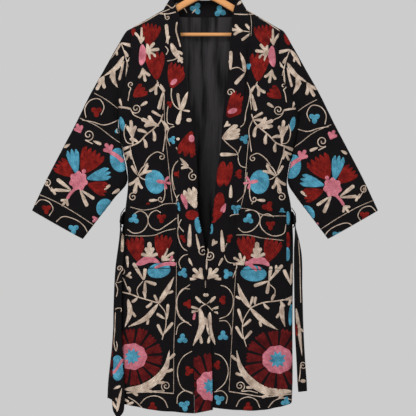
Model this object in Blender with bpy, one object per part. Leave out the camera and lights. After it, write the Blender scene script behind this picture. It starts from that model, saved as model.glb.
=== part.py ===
# A long embroidered coat hanging open on a wooden hanger, as plain solids, one for each cut piece.
# Axes: +X to the viewer's right, the coat's front faces -Y, +Z up. The origin is the top of the
# hook's inside, where the hanger hangs. "Drop" is the depth below it. Left and right are the
# viewer's. All sizes are millimetres until make_solid() turns them into metres.

import math

import bpy
import numpy as np

MM = 0.001

# Cloth and seams
GAP = 0.3
SEAM = GAP / 2
COAT_WALL = 2.5
LINING_WALL = 1.0
BAND_WALL = 3.0
POCKET_WALL = 2.0
BELT_WALL = 3.0
LOOP_WALL = 1.5

# Shoulders: the ridge where the front meets the back falls from the neck to the sleeve
RIDGE_TOP = 70.2
RIDGE_FALL = 0.58
RIDGE_ROUND = 45.0
NECK_X = 113.0
NECK_DROP = RIDGE_TOP + RIDGE_FALL * NECK_X
SHOULDER_X = 201.0
SHOULDER_DROP = RIDGE_TOP + RIDGE_FALL * SHOULDER_X
UNDERARM_DROP = 430.0
ARMHOLE_DEPTH = 15.0
TUBE_POWER = 2.8
SIDE_ROUND = 150.0
SHOULDER_ROUND = 60.0
BACK_HEM_DROP = 1192.0
FOLDLESS_SIDE = 45.0
FOLDLESS_TOP = 70.0

# Rows of points down the body
ARM_ROWS = 10
CHEST_ROWS = 5
POCKET_ROWS = 5
SKIRT_ROWS = 8
FRONT_HEM_ROW = ARM_ROWS + CHEST_ROWS + POCKET_ROWS + SKIRT_ROWS
POCKET_TOP_ROW = ARM_ROWS + CHEST_ROWS
POCKET_BOTTOM_ROW = POCKET_TOP_ROW + POCKET_ROWS
BACK_CHEST_ROWS = 5
BACK_SKIRT_ROWS = 11
BELT_TOP_ROW = ARM_ROWS + BACK_CHEST_ROWS
BACK_HEM_ROW = BELT_TOP_ROW + 1 + BACK_SKIRT_ROWS
CHEST_DROP = 420.0
ROW_POWER = 1.5
BELT_TOP_DROP = 682.0
BELT_WIDTH = 40.0

# The hanger
ARM_TOP = 79.5
ARM_REACH = 186.0
ARM_HEIGHT = 36.0
ARM_MIDDLE_HEIGHT = 20.0
ARM_HALF_THICK = 7.0
ARM_DROOP = 3.0
BAR_DROP = 202.6
BAR_RADIUS = 4.75
BAR_REACH = 176.0
HOOK_WIRE = 1.9
HOOK_INSIDE = 20.0
STEM_END = 96.0

LEFT, RIGHT = -1, 1
FRONT, BACK = -1, 1


def table(columns, *rows):
    """A short table: its named columns, each as an array."""
    return dict(zip(columns.split(), np.array(rows, float).T))


def smooth(x, xs, ys):
    """A smooth curve through the points (xs, ys), read at x and level past its ends."""
    x = np.clip(np.asarray(x, float), xs[0], xs[-1])
    k = np.clip(np.searchsorted(xs, x, side="right") - 1, 0, len(xs) - 2)
    slopes = np.gradient(ys, xs)
    width = xs[k + 1] - xs[k]
    t = (x - xs[k]) / width
    return (
        (2 * t**3 - 3 * t**2 + 1) * ys[k]
        + (t**3 - 2 * t**2 + t) * width * slopes[k]
        + (3 * t**2 - 2 * t**3) * ys[k + 1]
        + (t**3 - t**2) * width * slopes[k + 1]
    )


def ease(x):
    """0 below 0, 1 above 1, and a soft step between."""
    x = np.clip(x, 0.0, 1.0)
    return x * x * (3 - 2 * x)


def quarter_round(x):
    """A quarter of a circle: 0 at x = 0 with a steep start, 1 from x = 1."""
    return np.sqrt(1 - (1 - np.clip(x, 0.0, 1.0)) ** 2)


# The body's outline from the front: the armholes down to the underarm, then the side seams
SIDES = table(
    "drop left right",
    (186.8, -201, 201),
    (270, -203, 200),
    (326, -215, 210),
    (389, -234, 242),
    (430, -235.5, 256),
    (473, -232.5, 253),
    (520, -222.5, 240),
    (560, -213, 229),
    (609, -209.5, 223),
    (664, -215, 233),
    (740, -226, 239),
    (835, -241, 239.5),
    (966, -247.5, 238),
    (1055, -253.5, 238),
    (1156, -264, 238),
    (1205, -266, 236),
)

# How far the front and the back stand out from the side seams' plane
DEPTHS = table(
    "drop front back",
    (130, 20, 26),
    (200, 27, 27),
    (300, 38, 32),
    (450, 46, 36),
    (600, 50, 38),
    (800, 52, 40),
    (1000, 55, 42),
    (1220, 58, 44),
)

# The front bands: where each is sewn to its front, and its free edge
BANDS = table(
    "drop left_seam left_edge right_seam right_edge",
    (135.7, -113, -73, 113, 74),
    (160, -113, -69, 120, 73.5),
    (190, -113, -67, 121, 72),
    (270, -108, -58.5, 112.5, 64),
    (340, -97.5, -50, 108, 59),
    (400, -88, -38, 100, 51),
    (456, -82, -33, 94.5, 45.5),
    (512, -74, -25, 91, 42),
    (587, -69, -20, 80, 31),
    (677, -66, -18, 69.5, 21.5),
    (783, -47.5, 0, 54.5, 6.5),
    (876, -39.5, 1.5, 42.5, -5),
    (932, -37, 4, 37.5, -10.5),
    (1054, -31.5, 17.5, 26.5, -21),
    (1225, -27.5, 21.5, 18.5, -29),
)

# At the neck a band's free edge runs ahead of its seam, up and over the shoulder
BAND_TOP_X = 88.0
BAND_TOP_DROP = 93.0
BAND_ROLL_ROUND = 62.0
BAND_ROLL = table(
    "seam_drop edge_drop",
    (135.7, 93),
    (164, 126),
    (192, 160),
    (221, 195),
    (249, 232),
    (278, 268),
    (320, 317),
    (350, 350),
)

# The largest folds, as soft troughs: each runs from its top to its end
FRONT_FOLDS = table(
    "x drop end_x end_drop depth width",
    (-114, 280, -86, 790, 12, 14),
    (117, 170, 122, 660, 11, 10),
    (86, 600, 80, 850, 7, 14),
    (-216, 350, -180, 520, 7, 11),
    (222, 380, 190, 560, 6, 11),
    (-95, 880, -84, 1240, 5, 17),
    (-175, 930, -180, 1240, 5, 18),
    (104, 900, 98, 1240, 5, 17),
    (182, 860, 190, 1240, 6, 16),
)
BACK_FOLDS = table(
    "x drop end_x end_drop depth width",
    (-150, 250, -120, 620, 6, 18),
    (150, 250, 125, 620, 6, 18),
    (-40, 240, -35, 640, 4, 20),
    (-165, 760, -170, 1240, 7, 20),
    (-75, 740, -80, 1240, 6, 20),
    (20, 740, 15, 1240, 7, 20),
    (105, 760, 118, 1240, 6, 20),
    (185, 800, 195, 1240, 5, 18),
)

# The fronts, each with its own hem and pocket
FRONTS = {
    LEFT: {
        "hem": {"side": 1187.0, "seam": 1218.6, "edge": 1209.4, "sag": 6.0},
        "pocket_top": {"side": 671.0, "seam": 657.0},
        "pocket_bottom": {"side": 835.0, "seam": 835.0},
        "outer_margin": {"top": 6.0, "bottom": 31.0, "hem": 34.0},
        "inner_margin": {"top": 7.0, "bottom": 31.0, "hem": 34.0},
        "recess": 0.0,
    },
    RIGHT: {
        "hem": {"side": 1202.0, "seam": 1204.4, "edge": 1206.0, "sag": 9.0},
        "pocket_top": {"side": 688.0, "seam": 673.0},
        "pocket_bottom": {"side": 838.0, "seam": 838.0},
        "outer_margin": {"top": 17.6, "bottom": 21.0, "hem": 24.0},
        "inner_margin": {"top": 12.6, "bottom": 35.0, "hem": 30.0},
        "recess": 5.5,
    },
}
MOUTH_BULGE = 9.0
MOUTH_REACH = 4.0

# Each sleeve's fold lines from the armhole to the cuff: outer, over the arm, and inner, below it
SLEEVES = table(
    "t outer_x outer_drop left_x right_x inner_drop half_depth",
    (0, 201, 186.8, 235.5, 256, 430, 15),
    (0.06, 214, 195, 238.5, 262.5, 450, 15.5),
    (0.15, 238, 235, 237.5, 261, 480, 16),
    (0.30, 276, 302, 226.5, 243, 525, 18),
    (0.45, 314, 370, 215.5, 231, 567, 19),
    (0.60, 352, 447, 213.5, 227, 607, 19),
    (0.75, 390, 519, 246, 250, 647, 19),
    (0.88, 431, 598, 288, 291, 701, 17),
    (1.0, 470, 681, 332, 334, 758.5, 14),
)
SLEEVE_RINGS = 13
RING_STEPS = 20
ARMHOLE_FADE = 0.3
ARMHOLE_SWELL = 6.0
UNDERARM_CREASE = 5.0

# The belt's hanging ends: the two edges of each section, as x and y, at its drop
BELT_ENDS = {
    LEFT: table(
        "drop rear_x rear_y front_x front_y",
        (760, -232, -5, -216, -28),
        (835, -241, -13, -221, -36),
        (925, -245, -21, -223, -40),
        (1030, -246, -26, -222, -43),
        (1090, -246, -32, -217, -49),
        (1150, -247, -39, -214, -52),
        (1195, -247, -43, -214, -54),
        (1218, -243, -45, -218, -54),
        (1232, -233, -49, -229, -51),
    ),
    RIGHT: table(
        "drop rear_x rear_y front_x front_y",
        (789, 261, 6, 241.5, -14),
        (897, 265, 8, 242, -14),
        (1006, 268, 8, 244, -14),
        (1104, 273, 4, 249, -14),
        (1150, 276, 0, 251, -14),
        (1172, 277, 0, 253, -12),
    ),
}
LOOP_TOP_DROP = 674.0
LOOP_LENGTH = 54.0
LOOP_STAND = 8.5
LOOP_HALF_WIDTH = 4.0

MATERIALS = {
    "cotton_black": ((0.012, 0.012, 0.016, 1), 0.85, 0.0),
    "lining_black": ((0.020, 0.020, 0.026, 1), 0.75, 0.0),
    "wood": ((0.62, 0.36, 0.15, 1), 0.45, 0.0),
    "steel": ((0.62, 0.63, 0.65, 1), 0.28, 1.0),
}


# The coat's surface


def side_x(drop, side):
    """The armhole's or the side seam's distance from the middle."""
    return smooth(drop, SIDES["drop"], SIDES["left" if side == LEFT else "right"])


def ridge_drop(x):
    return RIDGE_TOP + RIDGE_FALL * np.abs(x)


def tube_round(angle):
    """The half-depth of a flattened tube round its ring, from 0 at its folds to 1 between."""
    return (1 - np.abs(np.cos(angle)) ** TUBE_POWER) ** (1 / TUBE_POWER)


def armhole_angle(drop):
    across = (UNDERARM_DROP + SHOULDER_DROP) / 2 - np.asarray(drop, float)
    return np.arccos(np.clip(across / ((UNDERARM_DROP - SHOULDER_DROP) / 2), -1, 1))


def armhole_drop(angle):
    middle = (UNDERARM_DROP + SHOULDER_DROP) / 2
    return middle - (UNDERARM_DROP - SHOULDER_DROP) / 2 * np.cos(angle)


def armhole_depth(drop):
    return ARMHOLE_DEPTH * tube_round(armhole_angle(drop))


def folds(x, drop, troughs):
    """How far all the troughs together sink the cloth at (x, drop)."""
    total = np.zeros(np.broadcast(x, drop).shape)
    for k in range(len(troughs["x"])):
        row = {name: values[k] for name, values in troughs.items()}
        along = (drop - row["drop"]) / (row["end_drop"] - row["drop"])
        centre = row["x"] + along * (row["end_x"] - row["x"])
        fade = ease(along / 0.25) * ease((1.0 - along) / 0.25)
        if row["end_drop"] > BACK_HEM_DROP:
            fade = ease(along / 0.4)
        total = total + row["depth"] * fade * np.exp(-(((x - centre) / row["width"]) ** 2))
    return total


def stand_out(x, drop, which):
    """The cloth's distance from the seams' plane, in front or behind."""
    x, drop = np.broadcast_arrays(np.asarray(x, float), np.asarray(drop, float))
    name, troughs = ("front", FRONT_FOLDS) if which == FRONT else ("back", BACK_FOLDS)
    full = smooth(drop, DEPTHS["drop"], DEPTHS[name])
    full = full * quarter_round((drop - ridge_drop(x)) / RIDGE_ROUND)
    from_side = np.where(x < 0, x - side_x(drop, LEFT), side_x(drop, RIGHT) - x)
    edge = np.minimum(armhole_depth(drop), full)
    settle = ease((drop - SHOULDER_DROP) / (UNDERARM_DROP - SHOULDER_DROP))
    side_round = SHOULDER_ROUND + (SIDE_ROUND - SHOULDER_ROUND) * settle
    depth = edge + (full - edge) * quarter_round(from_side / side_round)
    still = ease(from_side / FOLDLESS_SIDE) * ease((drop - ridge_drop(x)) / FOLDLESS_TOP)
    return depth - still * folds(x, drop, troughs)


def recess(x, drop, side):
    """The right front lies under the left one where they cross, below the waist."""
    deep = FRONTS[side]["recess"]
    return deep * ease((drop - 715) / 60) * ease((115 - x) / 55)


def points(x, y, drop):
    return np.stack(np.broadcast_arrays(x, y, -np.asarray(drop, float)), axis=-1)


def unit(vectors):
    return vectors / np.maximum(np.linalg.norm(vectors, axis=-1, keepdims=True), 1e-9)


# Solids from grids of points


def grid_normals(grid, closed=False):
    """Each point's direction across the grid's surface, from its neighbours."""
    down = np.gradient(grid, axis=0)
    if closed:
        across = np.roll(grid, -1, axis=1) - np.roll(grid, 1, axis=1)
    else:
        across = np.gradient(grid, axis=1)
    return unit(np.cross(down, across))


def seam_direction(line, keep_out):
    """Across a seam's line and free of the axis keep_out, so that the seam's two walls end alike."""
    along = np.gradient(line, axis=0)
    along[:, keep_out] = 0
    axis = np.zeros(3)
    axis[keep_out] = 1
    return unit(np.cross(along, axis))


def facing(vectors, towards):
    """The same directions, each turned so that it points the way of towards."""
    sign = np.where((vectors * towards).sum(-1, keepdims=True) < 0, -1.0, 1.0)
    return vectors * sign


def make_material(name):
    colour, roughness, metallic = MATERIALS[name]
    material = bpy.data.materials.new(name)
    material.use_nodes = True
    shader = material.node_tree.nodes["Principled BSDF"]
    shader.inputs["Base Color"].default_value = colour
    shader.inputs["Roughness"].default_value = roughness
    shader.inputs["Metallic"].default_value = metallic
    return material


def make_solid(name, vertices, faces, material):
    """A closed mesh as an object, in metres, smooth except at its corners."""
    mesh = bpy.data.meshes.new(name)
    mesh.from_pydata([tuple(v) for v in np.asarray(vertices) * MM], [], faces)
    mesh.validate()
    volume = sum(
        mesh.vertices[a].co.dot(mesh.vertices[b].co.cross(mesh.vertices[c].co))
        for a, b, c in (triangle.vertices for triangle in loop_triangles(mesh))
    )
    if volume < 0:
        mesh.flip_normals()
    return add_object(name, mesh, material)


def loop_triangles(mesh):
    mesh.calc_loop_triangles()
    return mesh.loop_triangles


def add_object(name, mesh, material):
    mesh.materials.clear()
    mesh.materials.append(materials[material])
    mesh.shade_smooth()
    mesh.set_sharp_from_angle(angle=math.radians(50))
    solid = bpy.data.objects.new(name, mesh)
    parts.objects.link(solid)
    return solid


def wall(name, outer, inner, material, closed=False):
    """A cloth wall between two grids of points. A closed one is a tube, open at both ends."""
    rows, cols = outer.shape[:2]

    def at(layer, r, c):
        return layer * rows * cols + r * cols + c % cols

    faces = []
    for r in range(rows - 1):
        for c in range(cols if closed else cols - 1):
            for layer in (0, 1):
                a, b = at(layer, r, c), at(layer, r + 1, c)
                d, e = at(layer, r + 1, c + 1), at(layer, r, c + 1)
                faces += [(a, b, d), (a, d, e)] if layer == 0 else [(a, d, b), (a, e, d)]
    rims = [(0, c, 0, c + 1) for c in range(cols if closed else cols - 1)]
    rims += [(rows - 1, c + 1, rows - 1, c) for c in range(cols if closed else cols - 1)]
    if not closed:
        rims += [(r + 1, 0, r, 0) for r in range(rows - 1)]
        rims += [(r, cols - 1, r + 1, cols - 1) for r in range(rows - 1)]
    for r, c, r2, c2 in rims:
        a, b, d, e = at(0, r, c), at(0, r2, c2), at(1, r2, c2), at(1, r, c)
        faces += [(a, b, d), (a, d, e)]
    vertices = np.concatenate([outer.reshape(-1, 3), inner.reshape(-1, 3)])
    return make_solid(name, vertices, faces, material)


# Seams that two or three pieces share


def underarm_turn(angle):
    """Near the underarm the body's wall and the sleeve's turn away from each other."""
    return ease((angle - math.radians(108)) / math.radians(72))


def armhole_inward(angles, side, which, body):
    """The wall's direction round the armhole, for the body or for the sleeve."""
    drop = armhole_drop(angles)
    line = points(0.0, which * armhole_depth(drop), drop)
    inward = facing(seam_direction(line, 0), points(0.0, 0.0, armhole_drop(math.pi / 2)) - line)
    inward[0] = (0, 0, -1)
    turn = underarm_turn(angles)[:, None]
    towards = -side if body else side
    return unit(inward * (1 - turn) + np.array([towards, 0, 0]) * turn)


def ridge_inward(side):
    return unit(np.array([-side * RIDGE_FALL, 0.0, -1.0]))


# The fronts


def upper_rows(top, end):
    """The drops of the rows beside the armhole, closer together near the shoulder."""
    return top + (end - top) * np.linspace(0, 1, ARM_ROWS + 1) ** ROW_POWER


def front_drops(side):
    """The drop of each row at the side and at the band's seam."""
    front = FRONTS[side]
    arm = armhole_drop(np.linspace(0, math.pi, ARM_ROWS + 1))
    edges = {}
    for edge, start in (("side", arm), ("seam", upper_rows(NECK_DROP, CHEST_DROP))):
        top, bottom, hem = (front[k][edge] for k in ("pocket_top", "pocket_bottom", "hem"))
        edges[edge] = np.concatenate(
            [
                start,
                np.linspace(start[-1], top, CHEST_ROWS + 1)[1:],
                np.linspace(top, bottom, POCKET_ROWS + 1)[1:],
                np.linspace(bottom, hem, SKIRT_ROWS + 1)[1:],
            ]
        )
    return edges["side"], edges["seam"]


def column_shares(side, width):
    """Where each column stands in each row, from 0 at the side to 1 at the band. The pocket's two
    sides are columns too."""
    front = FRONTS[side]
    keys = (0, ARM_ROWS, POCKET_TOP_ROW, POCKET_BOTTOM_ROW, FRONT_HEM_ROW)
    rows = np.arange(FRONT_HEM_ROW + 1)
    margins = []
    for margin, first in (("outer_margin", 7.0), ("inner_margin", 8.0)):
        m = front[margin]
        margins.append(np.interp(rows, keys, (first, first + 2, m["top"], m["bottom"], m["hem"])))
    outer, inner = margins
    near_side = outer[:, None] * np.array([0, 0.12, 0.45, 1.0])
    middle = outer[:, None] + (width - outer - inner)[:, None] * np.linspace(0, 1, 9)[1:] ** 1.3
    near_band = (width - inner)[:, None] + inner[:, None] * np.array([0.5, 1.0])
    return np.concatenate([near_side, middle, near_band], axis=1) / width[:, None]


POCKET_COLUMNS = slice(3, 12)


def front_grid(side):
    """The front's outer points, and the wall's direction at each."""
    side_drop, seam_drop = front_drops(side)
    band = "left_seam" if side == LEFT else "right_seam"
    seam = smooth(seam_drop, BANDS["drop"], BANDS[band])
    edge = side_x(side_drop, side)
    share = column_shares(side, np.abs(seam - edge))
    x = edge[:, None] + (seam - edge)[:, None] * share
    rows = np.arange(FRONT_HEM_ROW + 1)
    sag = FRONTS[side]["hem"]["sag"] * ease((rows - POCKET_BOTTOM_ROW) / SKIRT_ROWS)
    drop = side_drop[:, None] + (seam_drop - side_drop)[:, None] * share
    drop = drop + sag[:, None] * 4 * share * (1 - share)
    y = recess(x, drop, side) - stand_out(x, drop, FRONT)
    y[:, 0] = np.where(rows <= ARM_ROWS, -armhole_depth(side_drop), 0.0)
    y[0, :] = 0.0
    y = np.minimum(y, -SEAM)
    x[:, -1] += side * SEAM
    x[: ARM_ROWS + 1, 0] -= side * SEAM
    grid = points(x, y, drop)
    inward = facing(grid_normals(grid), np.array([0, 1.0, 0]))
    angles = np.linspace(0, math.pi, ARM_ROWS + 1)
    inward[0, :] = ridge_inward(side)
    inward[:, 0] = (-side, 0, 0)
    inward[: ARM_ROWS + 1, 0] = armhole_inward(angles, side, FRONT, body=True)
    inward[:, -1] = band_seam_inward(grid[:, -1])
    return grid, inward


def band_seam_inward(line):
    inward = facing(seam_direction(line, 0), np.array([0, 1.0, -0.2]))
    inward[0] = (0, 0, -1)
    return inward


def make_front(side, name):
    grid, inward = front_grid(side)
    wall("front_" + name, grid, grid + COAT_WALL * inward, "cotton_black")
    make_pocket(grid, inward, name)


def make_pocket(grid, inward, name):
    """A patch from the front's own points moved out. Its mouth stands open a little."""
    rows = slice(POCKET_TOP_ROW, POCKET_BOTTOM_ROW + 1)
    base, out = grid[rows, POCKET_COLUMNS], -inward[rows, POCKET_COLUMNS]
    down = np.arange(base.shape[0])[:, None, None] / MOUTH_REACH
    across = np.linspace(0, 1, base.shape[1])[None, :, None]
    bulge = MOUTH_BULGE * np.sin(math.pi * across) * np.clip(1 - down, 0, 1) ** 2
    inner = base + out * GAP + np.array([0, -1.0, 0]) * bulge
    wall("pocket_" + name, inner + out * POCKET_WALL, inner, "cotton_black")


def make_band(side, name):
    """The folded band down a front. Its top rolls up over the shoulder."""
    _, seam_drop = front_drops(side)
    word = "left" if side == LEFT else "right"
    seam_x = smooth(seam_drop, BANDS["drop"], BANDS[word + "_seam"])
    edge_drop = np.where(
        seam_drop < BAND_ROLL["seam_drop"][-1],
        smooth(seam_drop, BAND_ROLL["seam_drop"], BAND_ROLL["edge_drop"]),
        seam_drop,
    )
    hem = FRONTS[side]["hem"]
    rows = np.arange(FRONT_HEM_ROW + 1)
    near_hem = ease((rows - POCKET_BOTTOM_ROW) / SKIRT_ROWS)
    edge_drop = edge_drop + near_hem * (hem["edge"] - hem["seam"])
    edge_x = smooth(edge_drop, BANDS["drop"], BANDS[word + "_edge"])
    climb = ease((BANDS["drop"][1] - edge_drop) / (BANDS["drop"][1] - BAND_TOP_DROP))
    edge_x = edge_x + climb * (side * BAND_TOP_X - edge_x)
    full = smooth(edge_drop, DEPTHS["drop"], DEPTHS["front"])
    edge_y = -full * quarter_round((edge_drop - BAND_TOP_DROP) / BAND_ROLL_ROUND)
    share = np.linspace(0, 1, 5)[None, :]
    x = seam_x[:, None] + (edge_x - seam_x)[:, None] * share
    drop = seam_drop[:, None] + (edge_drop - seam_drop)[:, None] * share
    seam_y = -stand_out(seam_x, seam_drop, FRONT)
    seam_y[0] = 0
    rolled = seam_y[:, None] + (edge_y - seam_y)[:, None] * share
    settled = ease((seam_drop - NECK_DROP) / 150)[:, None]
    y = rolled + settled * (-stand_out(x, drop, FRONT) - rolled)
    y = y + recess(x, drop, side)
    y[0, :] = 0
    y = np.minimum(y, -SEAM)
    x[:, 0] -= side * SEAM
    grid = points(x, y, drop)
    inward = facing(grid_normals(grid), np.array([-side * 0.3, 1.0, -0.1]))
    inward[0, :] = facing(seam_direction(grid[0], 1), np.array([-side, 0, -0.5]))
    inward[:, 0] = band_seam_inward(grid[:, 0] + np.array([side * GAP, 0, 0]))
    wall("band_" + name, grid, grid + BAND_WALL * inward, "cotton_black")


# The back, its lining and the neck's band

NECK_SHARES = np.array([-1, -0.94, -0.82, -0.64, -0.42, -0.21, 0, 0.21, 0.42, 0.64, 0.82, 0.94, 1])
SHOULDER_SHARES = np.array([0, 0.06, 0.24, 0.56])
NECK_COLUMNS = slice(4, 17)
NECK_LOW_DROP = 151.0
NECK_BAND_DEPTH = 36.0
NECK_BAND_DROP = 101.0


def neckline_drop(x):
    """The back neckline: level behind the neck, and up to the ridge at its ends."""
    share = np.clip(np.abs(x) / NECK_X, 0, 1)
    return NECK_LOW_DROP - (NECK_LOW_DROP - NECK_DROP) * share**5


def back_grid():
    """The back's outer points, the wall's direction at each, and the neckline's own gap."""
    shoulder = SHOULDER_X - SHOULDER_SHARES * (SHOULDER_X - NECK_X)
    top_x = np.concatenate([-shoulder, NECK_SHARES * NECK_X, shoulder[::-1]])
    share = (top_x + SHOULDER_X) / (2 * SHOULDER_X)
    arm = armhole_drop(np.linspace(0, math.pi, ARM_ROWS + 1))
    low = [
        np.linspace(UNDERARM_DROP, BELT_TOP_DROP, BACK_CHEST_ROWS + 1)[1:],
        np.linspace(BELT_TOP_DROP + BELT_WIDTH, BACK_HEM_DROP, BACK_SKIRT_ROWS + 1),
    ]
    side_drop = np.concatenate([arm] + low)
    middle_drop = np.concatenate([upper_rows(NECK_LOW_DROP, UNDERARM_DROP)] + low)
    inside = ease(np.minimum(share, 1 - share) / share[NECK_COLUMNS.start])
    drop = side_drop[:, None] + (middle_drop - side_drop)[:, None] * inside
    top_drop = np.where(np.abs(top_x) <= NECK_X, neckline_drop(top_x), ridge_drop(top_x))
    fade = np.clip(1 - np.arange(len(side_drop)) / ARM_ROWS, 0, 1)[:, None]
    drop = drop + (top_drop - drop[0])[None, :] * fade
    left, right = side_x(side_drop, LEFT), side_x(side_drop, RIGHT)
    x = left[:, None] + (right - left)[:, None] * share
    y = stand_out(x, drop, BACK)
    for column in (0, -1):
        y[:, column] = np.where(side_drop <= UNDERARM_DROP, armhole_depth(side_drop), 0.0)
    on_ridge = np.abs(top_x) >= NECK_X - 0.01
    y[0, on_ridge] = 0
    y = np.maximum(y, SEAM)
    x[: ARM_ROWS + 1, 0] += SEAM
    x[: ARM_ROWS + 1, -1] -= SEAM
    grid = points(x, y, drop)
    inward = facing(grid_normals(grid), np.array([0, -1.0, 0]))
    angles = np.linspace(0, math.pi, ARM_ROWS + 1)
    for column, side in ((0, LEFT), (-1, RIGHT)):
        inward[:, column] = (-side, 0, 0)
        inward[: ARM_ROWS + 1, column] = armhole_inward(angles, side, BACK, body=True)
    inward[0, on_ridge & (top_x < 0)] = ridge_inward(LEFT)
    inward[0, on_ridge & (top_x > 0)] = ridge_inward(RIGHT)
    inward[0, 0] = inward[0, -1] = (0, 0, -1)
    neck_in, neck_across = neckline_frame(grid[0, NECK_COLUMNS])
    inward[0, NECK_COLUMNS] = neck_in
    neck = grid[0, NECK_COLUMNS].copy()
    grid[0, NECK_COLUMNS] -= SEAM * neck_across
    return grid, inward, neck, neck_in, neck_across


def neckline_frame(line):
    """The neckline seam's two directions: into the coat, and up across the seam."""
    inward = facing(seam_direction(line, 2), np.array([0, -1.0, 0]))
    inward[0] = inward[-1] = (0, 0, -1)
    across = unit(np.cross(np.gradient(line, axis=0), inward))
    across = facing(across, np.array([0, 0, 1.0]))
    across[0], across[-1] = (1, 0, 0), (-1, 0, 0)
    return inward, across


def make_back():
    grid, inward, neck, neck_in, neck_across = back_grid()
    wall("back", grid, grid + COAT_WALL * inward, "cotton_black")
    make_lining(grid, inward)
    make_neck_band(neck, neck_in, neck_across)
    make_belt_back(grid, inward)
    return grid, inward


def make_lining(grid, inward):
    """The lining lies just inside the back and stops short of the side seams and the hem."""
    rows, cols = slice(0, BACK_HEM_ROW), slice(2, grid.shape[1] - 2)
    base, into = grid[rows, cols], inward[rows, cols]
    outer = base + into * (COAT_WALL + GAP)
    wall("lining_back", outer, outer + into * LINING_WALL, "lining_black")


def make_neck_band(neck, neck_in, neck_across):
    """The band behind the neck, which stands up from the neckline."""
    lower = neck + SEAM * neck_across
    share = NECK_SHARES
    upper_y = NECK_BAND_DEPTH * np.sqrt(1 - share**4)
    rise = (NECK_BAND_DROP - BAND_TOP_DROP) * np.abs(share) ** 3
    upper = points(BAND_TOP_X * share, upper_y, NECK_BAND_DROP - rise)
    up = np.linspace(0, 1, 5)[:, None, None]
    bow = 3.0 * np.sin(math.pi * up) * points(0.0, 1.0, 0.0)
    grid = lower + (upper - lower) * up + bow * (1 - share**2)[None, :, None]
    grid[:, [0, -1], 1] = SEAM
    inward = facing(grid_normals(grid), np.array([0, -1.0, 0]))
    for column, side in ((0, LEFT), (-1, RIGHT)):
        edge = seam_direction(grid[:, column], 1)
        inward[:, column] = facing(edge, np.array([-side, 0, -0.5]))
    inward[0] = neck_in
    thickness = np.full((len(grid), 1, 1), BAND_WALL)
    thickness[0] = COAT_WALL
    wall("band_neck", grid, grid + thickness * inward, "cotton_black")


# The sleeves


def sleeve_grid(side):
    """Rings of points from the armhole to the cuff. Each ring starts over the arm, goes down
    the front to the underarm and comes back up behind."""
    t = np.linspace(0, 1, SLEEVE_RINGS + 1) ** 1.15
    inner = "left_x" if side == LEFT else "right_x"
    lines = [smooth(t, SLEEVES["t"], SLEEVES[k]) for k in ("outer_x", "outer_drop", inner)]
    outer_x, outer_drop, inner_x = lines
    inner_drop = smooth(t, SLEEVES["t"], SLEEVES["inner_drop"])
    half_depth = smooth(t, SLEEVES["t"], SLEEVES["half_depth"])
    angles = np.arange(RING_STEPS) * 2 * math.pi / RING_STEPS
    down = ((1 - np.cos(angles)) / 2)[None, :]
    x = side * (outer_x[:, None] + (inner_x - outer_x)[:, None] * down)
    drop = outer_drop[:, None] + (inner_drop - outer_drop)[:, None] * down
    bow = side_x(drop[0], side) - x[0]
    x = x + bow[None, :] * (np.clip(1 - t / ARMHOLE_FADE, 0, 1) ** 2)[:, None]
    swell = ARMHOLE_SWELL * np.sin(math.pi * np.clip(t / ARMHOLE_FADE, 0, 1))
    x = x + side * swell[:, None] * np.sin(math.pi * down)
    y = -half_depth[:, None] * (tube_round(angles) * np.sign(np.sin(angles) + 1e-9))[None, :]
    crease = np.exp(-(((down - 0.78 + 0.5 * t[:, None]) / 0.10) ** 2)) * ease(t / 0.12)[:, None]
    crease = crease * ease((0.62 - t) / 0.3)[:, None] * (y < 0)
    y = y + UNDERARM_CREASE * crease
    x[0] += side * SEAM
    grid = points(x, y, drop)
    centre = grid.mean(axis=1, keepdims=True)
    inward = facing(grid_normals(grid, closed=True), centre - grid)
    half = RING_STEPS // 2
    front_angles = np.linspace(0, math.pi, half + 1)
    inward[0, : half + 1] = armhole_inward(front_angles, side, FRONT, body=False)
    back = armhole_inward(front_angles, side, BACK, body=False)
    inward[0, half + 1 :] = back[1:half][::-1]
    return grid, inward


def make_sleeve(side, name):
    grid, inward = sleeve_grid(side)
    wall("sleeve_" + name, grid, grid + COAT_WALL * inward, "cotton_black", closed=True)


# The belt and its loops


def make_belt_back(grid, inward):
    """The belt's stretch across the back, on the back's own points."""
    rows, cols = slice(BELT_TOP_ROW, BELT_TOP_ROW + 2), slice(1, grid.shape[1] - 1)
    base, out = grid[rows, cols], -inward[rows, cols]
    inner = base + out * GAP
    wall("belt_back", inner + out * BELT_WALL, inner, "cotton_black")


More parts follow.
